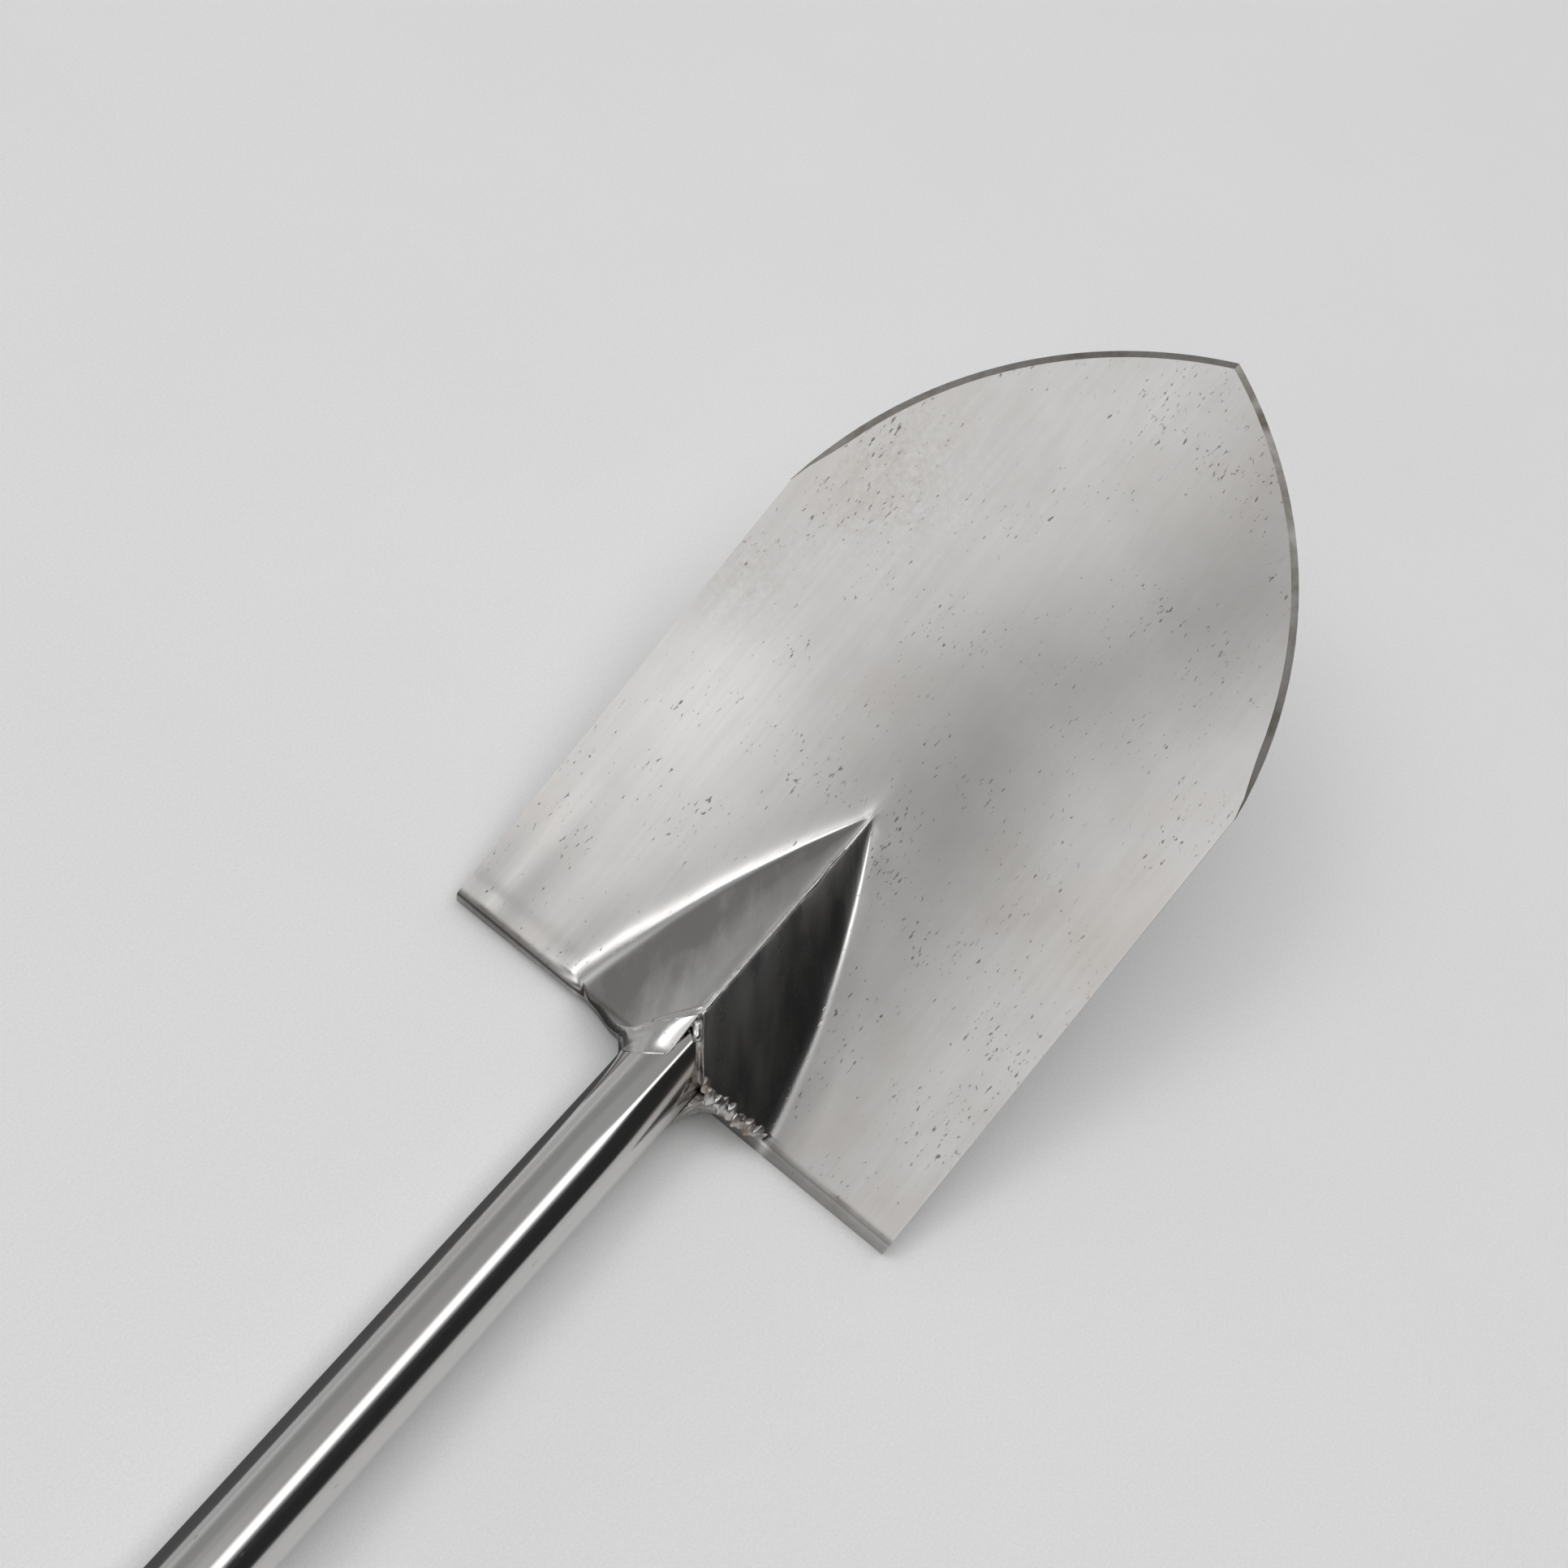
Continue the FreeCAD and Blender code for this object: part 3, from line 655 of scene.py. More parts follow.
class Finish:
    """A material under construction: adds nodes and joins them."""

    def __init__(self, name, metallic, roughness):
        self.material = bpy.data.materials.new(name)
        self.material.use_nodes = True
        self.tree = self.material.node_tree
        self.shader = self.tree.nodes["Principled BSDF"]
        self.shader.inputs["Metallic"].default_value = metallic
        self.shader.inputs["Roughness"].default_value = roughness
        self.object_place = self.tree.nodes.new("ShaderNodeTexCoord").outputs["Object"]

    @classmethod
    def on_tree(cls, tree):
        """The same helpers on the node tree of something other than a material."""
        finish = cls.__new__(cls)
        finish.tree = tree
        return finish

    def node(self, kind, *inputs, **settings):
        """Adds a node. inputs fill its sockets in order: a socket is linked, a value is set."""
        made = self.tree.nodes.new("ShaderNode" + kind)
        for name, value in settings.items():
            setattr(made, name, value)
        for socket, value in zip(made.inputs, inputs):
            if isinstance(value, bpy.types.NodeSocket):
                self.tree.links.new(value, socket)
            elif value is not None:
                socket.default_value = value
        return made

    def maths(self, operation, *inputs):
        return self.node("Math", *inputs, operation=operation).outputs[0]

    def times(self, *inputs):
        return self.maths("MULTIPLY", *inputs)

    def plus(self, *inputs):
        return self.maths("ADD", *inputs)

    def minus(self, *inputs):
        return self.maths("SUBTRACT", *inputs)

    def placed(self, scale, frame_matrix=None):
        """Object coordinates, in another frame if given, stretched by scale along each axis."""
        matrix = (frame_matrix or Matrix.Identity(4)).inverted()
        move, turn = matrix.to_translation(), matrix.to_euler()
        return self.stretched(self.node("Mapping", self.object_place, move, turn).outputs[0], scale)

    def stretched(self, vector, scale):
        return self.node("Mapping", vector, (0, 0, 0), (0, 0, 0), scale).outputs[0]

    def noise(self, vector, scale, detail=4.0, rough=0.55):
        made = self.node("TexNoise", vector)
        made.inputs["Scale"].default_value = scale
        made.inputs["Detail"].default_value = detail
        made.inputs["Roughness"].default_value = rough
        return made.outputs["Fac"]

    def between(self, value, low, high, to_low=0.0, to_high=1.0, curve="LINEAR"):
        """Maps value from low..high to to_low..to_high, held at the ends."""
        made = self.node("MapRange", value, low, high, to_low, to_high, interpolation_type=curve)
        made.clamp = True
        return made.outputs[0]

    def band(self, value, outer_low, inner_low, inner_high, outer_high):
        """1 between the inner limits, 0 outside the outer ones."""
        rise = self.between(value, outer_low, inner_low, 0.0, 1.0, "SMOOTHSTEP")
        fall = self.between(value, inner_high, outer_high, 1.0, 0.0, "SMOOTHSTEP")
        return self.times(rise, fall)

    def spot(self, parts, place, size):
        """A soft round spot at a place in X and Y."""
        along = self.hill(parts["X"], place[0], size * 1.3)
        return self.times(along, self.hill(parts["Y"], place[1], size))

    def hill(self, value, centre, width):
        """A bell curve round centre."""
        away = self.maths("DIVIDE", self.minus(value, centre), width)
        return self.maths("EXPONENT", self.times(self.times(away, away), -1.0))

    def mix(self, share, first, second):
        made = self.tree.nodes.new("ShaderNodeMix")
        made.data_type = "RGBA"
        for socket, value in ((made.inputs[0], share), (made.inputs[6], first), (made.inputs[7], second)):
            if isinstance(value, bpy.types.NodeSocket):
                self.tree.links.new(value, socket)
            elif socket == made.inputs[0]:
                socket.default_value = value
            else:
                socket.default_value = (*value, 1)
        return made.outputs[2]

    def join(self, socket, name):
        self.tree.links.new(socket, self.shader.inputs[name])

    def bump(self, height, distance, strength=1.0):
        made = self.tree.nodes.new("ShaderNodeBump")
        made.inputs["Strength"].default_value = strength
        made.inputs["Distance"].default_value = distance
        self.tree.links.new(height, made.inputs["Height"])
        self.tree.links.new(made.outputs[0], self.shader.inputs["Normal"])


# Marks on the blade, stains and spots of painted light and shade: (distance from the heel, to the left),
# size, strength.
STAINS = (((0.212, 0.068), 0.024, 0.45), ((0.146, 0.086), 0.016, 0.4))
# Painted highlight: a lighter spot standing in for a bright reflection.
PAINTED_HIGHLIGHT_SPOT = ((0.105, 0.070), 0.026, 0.6)
# Painted shade: a darker patch at the left heel corner.
PAINTED_CORNER_SHADE = ((0.012, 0.085), 0.018, 0.5)
GRINDING_TURN = math.radians(-38)  # of the grinding marks on the frog


def blade_steel():
    """Satin sheet: brushed along the blade, hazy, pitted and brownish in patches, with painted shade and
    painted highlights laid into its colour.
    """
    colours, frog = sizes("finish"), sizes("frog")
    finish = Finish("blade_steel", 1.0, 0.3)
    between, times, plus, mix = finish.between, finish.times, finish.plus, finish.mix
    local = finish.placed((1, 1, 1), blade_frame())
    parts = finish.node("SeparateXYZ", local).outputs

    brushing = finish.noise(finish.placed((18, 420, 420), blade_frame()), 1.0, 3.0)
    clouds = finish.noise(local, 11.0, 5.0, 0.6)
    patches = finish.noise(local, 23.0, 6.0, 0.65)
    speckle = between(finish.noise(local, 420.0, 5.0, 0.75), 0.38, 0.66)
    grains = finish.noise(local, 700.0, 2.0)
    ground = finish.node("Mapping", local, (0, 0, 0), (0, 0, GRINDING_TURN)).outputs[0]
    ground = finish.stretched(ground, (60, 900, 120))
    grinding = finish.noise(ground, 1.0, 4.0)
    swathes = finish.noise(finish.stretched(ground, (0.5, 0.12, 0.5)), 1.0, 3.0)

    # The frog's outline, with its feet bowed as in foot_of_frog.
    share = between(parts["X"], 0.0, frog.reach, 0.0, 1.0)
    bow = times(finish.minus(1.0, share), times(share, 4 * frog.bulge))
    foot = plus(between(parts["X"], 0.0, frog.reach, frog.width / 2, frog.point), bow)
    from_ridge = finish.maths("DIVIDE", finish.maths("ABSOLUTE", parts["Y"]), foot)
    short_of_point = between(parts["X"], 0.108, 0.111, 1.0, 0.0)
    on_frog = times(between(from_ridge, 0.95, 1.08, 1.0, 0.0), short_of_point)
    # Painted highlight: a light line just outside each foot of the frog, which is also polished smoother.
    painted_foot_highlight = times(
        finish.hill(from_ridge, 1.03, 0.045), between(parts["X"], 0.100, 0.112, 1.0, 0.0)
    )

    fine = finish.noise(finish.placed((330, 900, 900), blade_frame()), 1.0, 2.0)
    crowd = finish.noise(local, 30.0, 4.0)
    pits = between(plus(fine, times(crowd, 0.40)), 0.865, 0.95)
    pits = times(pits, between(on_frog, 0.0, 1.0, 1.0, 0.06))

    # Haze and stains.
    colour = mix(between(clouds, 0.42, 0.68, 0.0, 0.55), colours.steel, colours.patina)
    colour = mix(between(patches, 0.55, 0.75, 0.0, 0.30), colour, colours.patina)
    for place, size, strength in STAINS:
        stain = times(times(finish.spot(parts, place, size), speckle), strength)
        colour = mix(stain, colour, colours.stain)
    # A painted highlight spot and a patch of painted shade at the left heel corner.
    for (place, size, strength), tone in (
        (PAINTED_HIGHLIGHT_SPOT, colours.bright),
        (PAINTED_CORNER_SHADE, colours.painted_blade_shade),
    ):
        colour = mix(times(finish.spot(parts, place, size), strength), colour, tone)
    colour = mix(between(brushing, 0.3, 0.7, 0.0, 0.10), colour, colours.grime_and_shade)

    # Painted shade: a darker stretch that runs from the frog's point to the right of the tip.
    middle = between(parts["X"], 0.15, 0.29, -0.018, -0.062, "SMOOTHSTEP")
    painted_blade_shade = times(finish.hill(parts["Y"], middle, 0.046), between(parts["X"], 0.10, 0.32, 0.80, 0.60))
    painted_blade_shade = times(painted_blade_shade, between(clouds, 0.3, 0.7, 0.85, 1.10))
    painted_blade_shade = times(painted_blade_shade, between(on_frog, 0.0, 1.0, 1.0, 0.0))
    colour = mix(painted_blade_shade, colour, colours.painted_blade_shade)

    # Frog with painted shade on its flanks, pits, painted highlight along the feet, dirt at the fold and
    # treads.
    # Painted shade: the frog's flanks darken from the ridge towards the feet, blotched by the swathes.
    facet_shade = between(from_ridge, 0.12, 0.65, 0.0, 0.95)
    facet_shade = plus(facet_shade, between(swathes, 0.3, 0.7, -0.25, 0.3))
    colour = mix(times(on_frog, facet_shade), colour, colours.painted_blade_shade)
    colour = mix(times(pits, 0.60), colour, colours.pit)
    colour = mix(times(painted_foot_highlight, 0.9), colour, colours.bright)
    fold = times(finish.hill(parts["X"], 0.0018, 0.0009), between(patches, 0.4, 0.6, 0.3, 0.9))
    colour = mix(fold, colour, colours.grime_and_shade)
    tread = times(
        between(parts["Z"], -0.0012, 0.0, 1.0, 0.0), between(parts["X"], 0.004, 0.0, 0.0, 1.0)
    )
    colour = mix(times(tread, between(patches, 0.35, 0.65, 0.1, 0.6)), colour, colours.grime_and_shade)
    finish.join(colour, "Base Color")

    rough = between(plus(clouds, times(brushing, 0.4)), 0.4, 1.1, 0.24, 0.42)
    polished = between(swathes, 0.35, 0.7, 0.20, 0.36)
    rough = finish.node("Mix", on_frog, None, rough, polished).outputs[0]
    rough = plus(plus(rough, times(pits, 0.3)), times(tread, 0.15))
    finish.join(finish.minus(rough, times(painted_foot_highlight, 0.14)), "Roughness")

    along = plus(times(brushing, 0.6), times(grains, 0.2))
    relief = finish.node("Mix", on_frog, None, along, times(grinding, 1.3)).outputs[0]
    finish.bump(finish.minus(relief, pits), 0.00004, 0.6)
    return finish.material


def ground_edge_steel():
    """The ground bevel and the cut edges: coarse and rough, mostly in the dirt tone, which is partly real
    dirt and partly painted shade for the bevel's dark reflection.
    """
    colours = sizes("finish")
    finish = Finish("ground_edge_steel", 1.0, 0.45)
    dirt = finish.noise(finish.object_place, 60.0, 6.0, 0.65)
    marks = finish.noise(finish.placed((500, 500, 500), blade_frame()), 1.0, 3.0)
    # Mostly the dirt tone: partly real dirt, partly painted shade that darkens the bevel as its dark
    # reflection.
    colour = finish.mix(finish.between(dirt, 0.30, 0.7, 0.55, 1.0), colours.steel, colours.grime_and_shade)
    finish.join(colour, "Base Color")
    finish.join(finish.between(dirt, 0.3, 0.7, 0.3, 0.55), "Roughness")
    finish.bump(marks, 0.00005, 0.6)
    return finish.material


def tube_steel():
    """Drawn tube, polished along its length, with fine scratches and a heat tint by the blade."""
    colours = sizes("finish")
    finish = Finish("tube_steel", 1.0, 0.14)
    lines = finish.noise(finish.placed((3, 900, 900)), 1.0, 3.0)
    smears = finish.noise(finish.placed((9, 60, 60)), 1.0, 4.0)
    nicks = finish.between(finish.noise(finish.placed((120, 700, 700)), 1.0, 2.0), 0.72, 0.78)
    nose_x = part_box("shaft")[1].x
    along = finish.node("SeparateXYZ", finish.object_place).outputs["X"]
    near_weld = finish.between(along, nose_x - 0.075, nose_x - 0.02)
    tint = finish.times(near_weld, finish.between(smears, 0.45, 0.7))
    colour = finish.mix(finish.between(smears, 0.4, 0.75, 0.0, 0.25), colours.steel, colours.patina)
    colour = finish.mix(finish.times(tint, 0.5), colour, colours.heat)
    colour = finish.mix(finish.times(nicks, 0.5), colour, colours.pit)
    finish.join(colour, "Base Color")
    rough = finish.between(finish.plus(lines, smears), 0.7, 1.3, 0.07, 0.20)
    finish.join(finish.plus(rough, finish.times(nicks, 0.25)), "Roughness")
    finish.bump(finish.minus(lines, nicks), 0.000004, 0.4)
    return finish.material


def weld_steel(name, ground):
    """Weld metal. ground runs from 0, left rough and tinted, to 1, ground smooth."""
    colours = sizes("finish")
    finish = Finish(name, 1.0, 0.3)
    blotches = finish.noise(finish.object_place, 130.0, 5.0, 0.6)
    grain = finish.noise(finish.object_place, 900.0, 3.0)
    pores = finish.between(finish.noise(finish.object_place, 650.0, 1.0), 0.70, 0.76)
    tint = finish.between(blotches, 0.42, 0.66, 0.0, 0.75 - 0.6 * ground)
    colour = finish.mix(tint, colours.steel, colours.heat)
    colour = finish.mix(finish.times(pores, 0.8), colour, colours.pit)
    finish.join(colour, "Base Color")
    finish.join(finish.between(blotches, 0.3, 0.7, 0.16, 0.45 - 0.1 * ground), "Roughness")
    relief = finish.minus(finish.plus(blotches, finish.times(grain, 0.3)), pores)
    finish.bump(relief, 0.0003 - 0.00024 * ground, 0.7)
    return finish.material


def grip_rubber():
    """Matt black rubber with a fine moulded grain, patches of dust and a varied roughness."""
    colours = sizes("finish")
    finish = Finish("grip_rubber", 0.0, 0.72)
    dust = finish.noise(finish.object_place, 90.0, 6.0, 0.7)
    grain = finish.noise(finish.object_place, 2600.0, 2.0)
    colour = finish.mix(finish.between(dust, 0.42, 0.75, 0.0, 0.4), colours.rubber, (0.19, 0.18, 0.16))
    finish.join(colour, "Base Color")
    finish.join(finish.between(dust, 0.3, 0.7, 0.55, 0.85), "Roughness")
    finish.bump(grain, 0.00004, 0.8)
    return finish.material


def plug_plastic():
    """Moulded black plastic, a little shinier than the rubber and scuffed."""
    colours = sizes("finish")
    finish = Finish("plug_plastic", 0.0, 0.45)
    scuffs = finish.noise(finish.placed((900, 120, 400)), 1.0, 4.0)
    grain = finish.noise(finish.object_place, 3200.0, 2.0)
    colour = finish.mix(finish.between(scuffs, 0.6, 0.8, 0.0, 0.35), colours.plastic, (0.2, 0.2, 0.2))
    finish.join(colour, "Base Color")
    finish.join(finish.between(scuffs, 0.3, 0.7, 0.35, 0.6), "Roughness")
    finish.bump(grain, 0.00002, 0.6)
    return finish.material


def floor_paint():
    colours = sizes("finish")
    finish = Finish("pale_floor", 0.0, 0.85)
    mottle = finish.noise(finish.object_place, 7.0, 8.0, 0.6)
    grain = finish.between(finish.noise(finish.object_place, 1100.0, 2.0), 0.3, 0.7)
    darker = tuple(0.88 * channel for channel in colours.floor)
    share = finish.plus(finish.times(mottle, 0.4), finish.times(grain, 0.6))
    finish.join(finish.mix(share, darker, colours.floor), "Base Color")
    finish.shader.inputs["Specular IOR Level"].default_value = 0.2
    return finish.material


# ---------------------------------------------------------------- operators


class SHOVEL_OT_blade(bpy.types.Operator):
    """Pressed, dished sheet with its raised frog, closing wall, folded treads and ground rim"""

    bl_idname = "shovel.blade"
    bl_label = "Blade"

    def execute(self, context):
        back = ROWS["wall"] + ROWS["fold"] + ROWS["tread"]
        front = ROWS["frog"] + ROWS["body"] + 1
        columns = 2 * (COLUMNS["frog"] + COLUMNS["plate"])
        sheet = start_grid("blade_sheet", back + front, columns)
        shape_sheet(sheet, back, front, columns)
        open_for_tube(sheet)
        rim = rim_shares(sheet)
        if len(rim) != columns + 1:
            raise RuntimeError(f"the rim has {len(rim)} points and should have {columns + 1}")
        face_count = len(sheet.data.polygons)
        thickness = sizes("blade").sheet
        apply_modifier(sheet, "SOLIDIFY", thickness=thickness, offset=-1, use_even_offset=True)
        grind_bevel(sheet, rim)
        sheet.data.materials.append(blade_steel())
        sheet.data.materials.append(ground_edge_steel())
        for face in sheet.data.polygons:
            on_rim = sum(index in rim for index in face.vertices) == 2
            cut_edge = face.index >= 2 * face_count
            face.material_index = 1 if on_rim or cut_edge else 0
        shade(sheet, 40)
        self.sharpen(sheet, rim)
        settle(sheet, blade_frame(), ["blade"], None)
        return {"FINISHED"}

    def sharpen(self, sheet, rim):
        """Marks the inner line of the bevel as a crisp edge."""
        mesh = sheet.data
        band = [face for face in mesh.polygons if sum(i in rim for i in face.vertices) == 2]
        upper = {i for face in band[: len(rim)] for i in face.vertices}
        chosen = [
            edge.index for edge in mesh.edges if all(i in upper and i not in rim for i in edge.vertices)
        ]
        sharp = mesh.attributes.get("sharp_edge") or mesh.attributes.new("sharp_edge", "BOOLEAN", "EDGE")
        for index in chosen:
            sharp.data[index].value = True


class SHOVEL_OT_ridge_weld(bpy.types.Operator):
    """Weld along the ridge of the frog, ground nearly flush"""

    bl_idname = "shovel.ridge_weld"
    bl_label = "Ridge weld"

    def execute(self, context):
        frog = sizes("frog")
        strip = start_grid("ridge_bead", 120, 10)
        start = frog.ridge_start + 0.0015
        stop = frog.reach - frog.weld_stop
        for vertex in strip.data.vertices:
            along, side = vertex.co.x + 0.5, 2 * vertex.co.y
            x = start + (stop - start) * along
            half = frog.weld_width / 2 * (1 - 0.5 * along)
            half *= 0.8 + 0.3 * noise.noise(Vector((x * 300, 0, 1.3)))
            sway = 0.0007 * (1 - along) + 0.0006 * noise.noise(Vector((x * 110, 0, 7.7)))
            y = side * half + sway
            swell = 0.00030 * (1 - side**4) * (1 + 0.3 * noise.noise(Vector((x * 300, y * 200, 2))))
            vertex.co = (x, y, face_height(x, y) + swell - 0.00004)
        apply_modifier(strip, "SOLIDIFY", thickness=0.0012, offset=-1)
        shade(strip, 60)
        material = weld_steel("ridge_weld_steel", 0.8)
        settle(strip, blade_frame(), ["ridge_weld"], material)
        return {"FINISHED"}


class SHOVEL_OT_shaft(bpy.types.Operator):
    """Shaft tube with its nose pressed to a soft ridge where it enters the frog"""

    bl_idname = "shovel.shaft"
    bl_label = "Shaft"

    def execute(self, context):
        shaft = sizes("shaft")
        radius = shaft.tube_outer / 2
        bore = radius - shaft.tube_wall
        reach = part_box("shaft")[1].x - handle_centre().x
        start = radius * 0.6
        steps = [start, start + 0.004] + [0.04 + 0.03 * k for k in range(18)]
        steps += [reach - 0.085 + 0.0025 * k for k in range(34)] + [reach]
        outline = [(along, radius) for along in steps] + [(along, bore) for along in (reach, start)]
        tube = turned("shaft_tube", outline, 128)
        in_edit_mode(tube, join_end_rings)
        tube.data.transform(Matrix.Rotation(math.pi / 2, 4, "Y"))
        self.press_nose(tube, reach)
        shade(tube, 45)
        settle(tube, shaft_frame(), ["shaft"], tube_steel())
        return {"FINISHED"}

    def press_nose(self, tube, reach):
        """Raises a soft ridge on the crown of the nose and draws its flanks in."""
        for vertex in tube.data.vertices:
            away = Vector((0, vertex.co.y, vertex.co.z))
            turn = math.atan2(away.y, away.z)
            vertex.co += away.normalized() * nose_bulge(turn, reach - vertex.co.x)


class SHOVEL_OT_neck_welds(bpy.types.Operator):
    """The three welds round the neck: ground on the left and top, rough on the right"""

    bl_idname = "shovel.neck_welds"
    bl_label = "Neck welds"

    def execute(self, context):
        self.side_fillet("neck_weld_left", 1.0)
        self.side_fillet("neck_weld_right", 0.0)
        self.crown()
        return {"FINISHED"}

    def side_fillet(self, node, ground):
        """A finer copy of the CAD fillet, rounded when ground and lumpy when not."""
        source = frame["nodes"][node]
        fillet = source.copy()
        fillet.data = source.data.copy()
        fillet.parent = None
        bpy.context.scene.collection.objects.link(fillet)
        fillet.name = fillet.data.name = node + "_bead"
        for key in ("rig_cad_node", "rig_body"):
            if key in fillet:
                del fillet[key]

        def merge():
            bpy.ops.mesh.select_all(action="SELECT")
            bpy.ops.mesh.remove_doubles(threshold=1e-5)
            face_outwards()

        in_edit_mode(fillet, merge)
        apply_modifier(fillet, "REMESH", mode="VOXEL", voxel_size=0.0005)
        apply_modifier(fillet, "SMOOTH", factor=0.5, iterations=6 if ground else 3)
        if not ground:
            for vertex in fillet.data.vertices:
                lump = noise.noise(vertex.co * 330) + 0.4 * noise.noise(vertex.co * 900)
                vertex.co += vertex.normal * 0.0004 * lump
        side = 1 if ground else -1
        extras = [self.collar(side, ground)] + ([] if ground else [self.beads()])
        pick(fillet)
        for extra in extras:
            extra.data.transform(blade_frame())
            extra.select_set(True)
        bpy.ops.object.join()
        shade(fillet, 180)
        name = "ground_weld_steel" if ground else "rough_weld_steel"
        settle(fillet, Matrix.Identity(4), [node], weld_steel(name, ground))

    def collar(self, side, ground):
        """Skin of weld metal that runs from the frog's rear edge down to the tube."""
        skin = start_grid("collar_left" if side > 0 else "collar_right", 24, 64)
        nose = nose_reach()
        for vertex in skin.data.vertices:
            vertex.co = self.collar_point(side, ground, nose, vertex.co.x + 0.5, vertex.co.y + 0.5)
        apply_modifier(skin, "SOLIDIFY", thickness=0.0012, offset=side)
        in_edit_mode(skin, face_outwards)
        return skin

    def collar_point(self, side, ground, nose, down, around):
        """down runs from the frog (0) to the tube (1), around from the crown (0) to the side (1)."""
        shaft = sizes("shaft")
        radius = shaft.tube_outer / 2
        on_face, on_tube = (0.0045, 0.0200) if ground else (0.0010, 0.0040)
        y = side * (0.0005 + 0.0205 * around)
        x = rear_edge(y) + on_face * (1 - 0.4 * around)
        start = Vector((x, y, face_height(x, y) + 0.0001))
        turn = side * math.radians(98) * around
        along = Vector((-math.cos(shaft.lift_angle), 0, math.sin(shaft.lift_angle)))
        upward = Vector((math.sin(shaft.lift_angle), 0, math.cos(shaft.lift_angle)))
        outward = upward * math.cos(turn) + Vector((0, 1, 0)) * math.sin(turn)
        edge = rear_edge(radius * math.sin(turn))
        leaves = (radius * outward.x - edge) / math.cos(shaft.lift_angle)
        leaves += on_tube * (1 - 0.72 * around)
        axis = Vector((0, 0, shaft.height_at_heel))
        raised = radius + 0.00006 + nose_bulge(turn, leaves + nose)
        finish = axis + outward * raised + along * leaves
        span = (finish - start).length
        first = (face_slope(x, y) * -1) * span * 0.9
        last = along * span * 0.9
        a, b = down * down * (3 - 2 * down), down * (1 - down) ** 2
        point = start.lerp(finish, a) + first * b - last * (down * down * (1 - down))
        if not ground:
            lump = noise.noise(point * 420) + 0.5 * noise.noise(point * 1100)
            point += outward * 0.0006 * lump * math.sin(math.pi * down)
        return point

    def crown(self):
        """Small flattened bead between the ridge's end and the tube."""
        frog, shaft = sizes("frog"), sizes("shaft")
        bead = start_ball("crown_bead", 64, 32)
        for vertex in bead.data.vertices:
            side = vertex.co.y
            y = 0.0042 * side - 0.0010
            x = frog.ridge_start - 0.0022 + 0.0036 * vertex.co.x - 0.9 * abs(y)
            axis_z = shaft.height_at_heel - x * math.tan(shaft.lift_angle)
            top = axis_z + math.sqrt((shaft.tube_outer / 2) ** 2 - y * y) / math.cos(shaft.lift_angle)
            lump = 1 + 0.25 * noise.noise(Vector((x * 400, y * 400, 4.0)))
            vertex.co = (x, y, top + 0.0026 + 0.0024 * vertex.co.z * lump)
        shade(bead, 180)
        material = bpy.data.materials["ground_weld_steel"]
        settle(bead, blade_frame(), ["neck_weld_crown"], material)

    def beads(self):
        """Melted beads along the top of the closing wall on the right."""
        rope = start_ball("wall_beads", 20, 140)
        foot = sizes("frog").width / 2
        for vertex in rope.data.vertices:
            share = 1 - math.acos(max(min(vertex.co.z, 1), -1)) / math.pi
            turn = math.atan2(vertex.co.y, vertex.co.x)
            round_end = math.sqrt(max(1 - (2 * share - 1) ** 12, 0))
            y = -0.0135 - (foot - 0.0150) * share
            x = rear_edge(y)
            edge = Vector((x + 0.0010, y, face_height(x + 0.001, y) - 0.0006))
            swell = 0.75 + 0.35 * abs(math.sin(6.5 * math.pi * share + 0.6)) ** 0.6
            swell += 0.30 * noise.noise(Vector((share * 14, 0, 1.0)))
            radius = 0.0020 * swell * round_end
            up, out = math.sin(turn), math.cos(turn)
            radius *= 1 + 0.5 * noise.noise(Vector((share * 11, 0.9 * up, 0.9 * out)))
            shift = 0.0013 * noise.noise(Vector((share * 9, 3.3, 0)))
            vertex.co = edge + Vector((shift + radius * 1.25 * out, 0, radius * up))
        in_edit_mode(rope, face_outwards)
        return rope


class SHOVEL_OT_crossbar(bpy.types.Operator):
    """Tube of the T-handle and the rippled bead that joins the shaft to it"""

    bl_idname = "shovel.crossbar"
    bl_label = "Crossbar"

    def execute(self, context):
        shaft = sizes("shaft")
        radius = shaft.tube_outer / 2
        bore = radius - shaft.tube_wall
        low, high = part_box("crossbar")
        half = (high.y - low.y) / 2
        chamfer = 0.0003
        outline = [(-half, radius - chamfer), (-half + chamfer, radius), (-0.02, radius), (0, radius)]
        outline += [(0.02, radius), (half - chamfer, radius), (half, radius - chamfer)]
        outline += [(half, bore), (-half, bore)]
        tube = turned("crossbar_tube", outline, 128)
        in_edit_mode(tube, join_end_rings)
        shade(tube, 30)
        material = bpy.data.materials["tube_steel"]
        settle(tube, side_frame(1), ["crossbar"], material)
        self.bead()
        return {"FINISHED"}

    def bead(self):
        """Saddle-shaped ring of overlapping ripples."""
        radius = sizes("shaft").tube_outer / 2
        minor = sizes("handle").weld_bead
        add = bpy.ops.mesh.primitive_torus_add
        segments = {"major_segments": 288, "minor_segments": 20}
        ring = start_piece("crossbar_bead", add, major_radius=radius, minor_radius=minor, **segments)
        for vertex in ring.data.vertices:
            turn = math.atan2(vertex.co.y, vertex.co.x)
            out = math.hypot(vertex.co.x, vertex.co.y) - radius
            ripple = 0.86 + 0.12 * abs(math.sin(19 * turn))
            ripple += 0.04 * noise.noise(Vector((3 * turn, 1, 2)))
            saddle = radius * abs(math.sin(turn))
            reach = radius + out * ripple
            vertex.co = (
                saddle + vertex.co.z * ripple + 0.0004,
                reach * math.sin(turn),
                reach * math.cos(turn),
            )
        in_edit_mode(ring, face_outwards)
        shade(ring, 180)
        material = bpy.data.materials["rough_weld_steel"]
        settle(ring, shaft_frame(), ["crossbar_weld"], material)


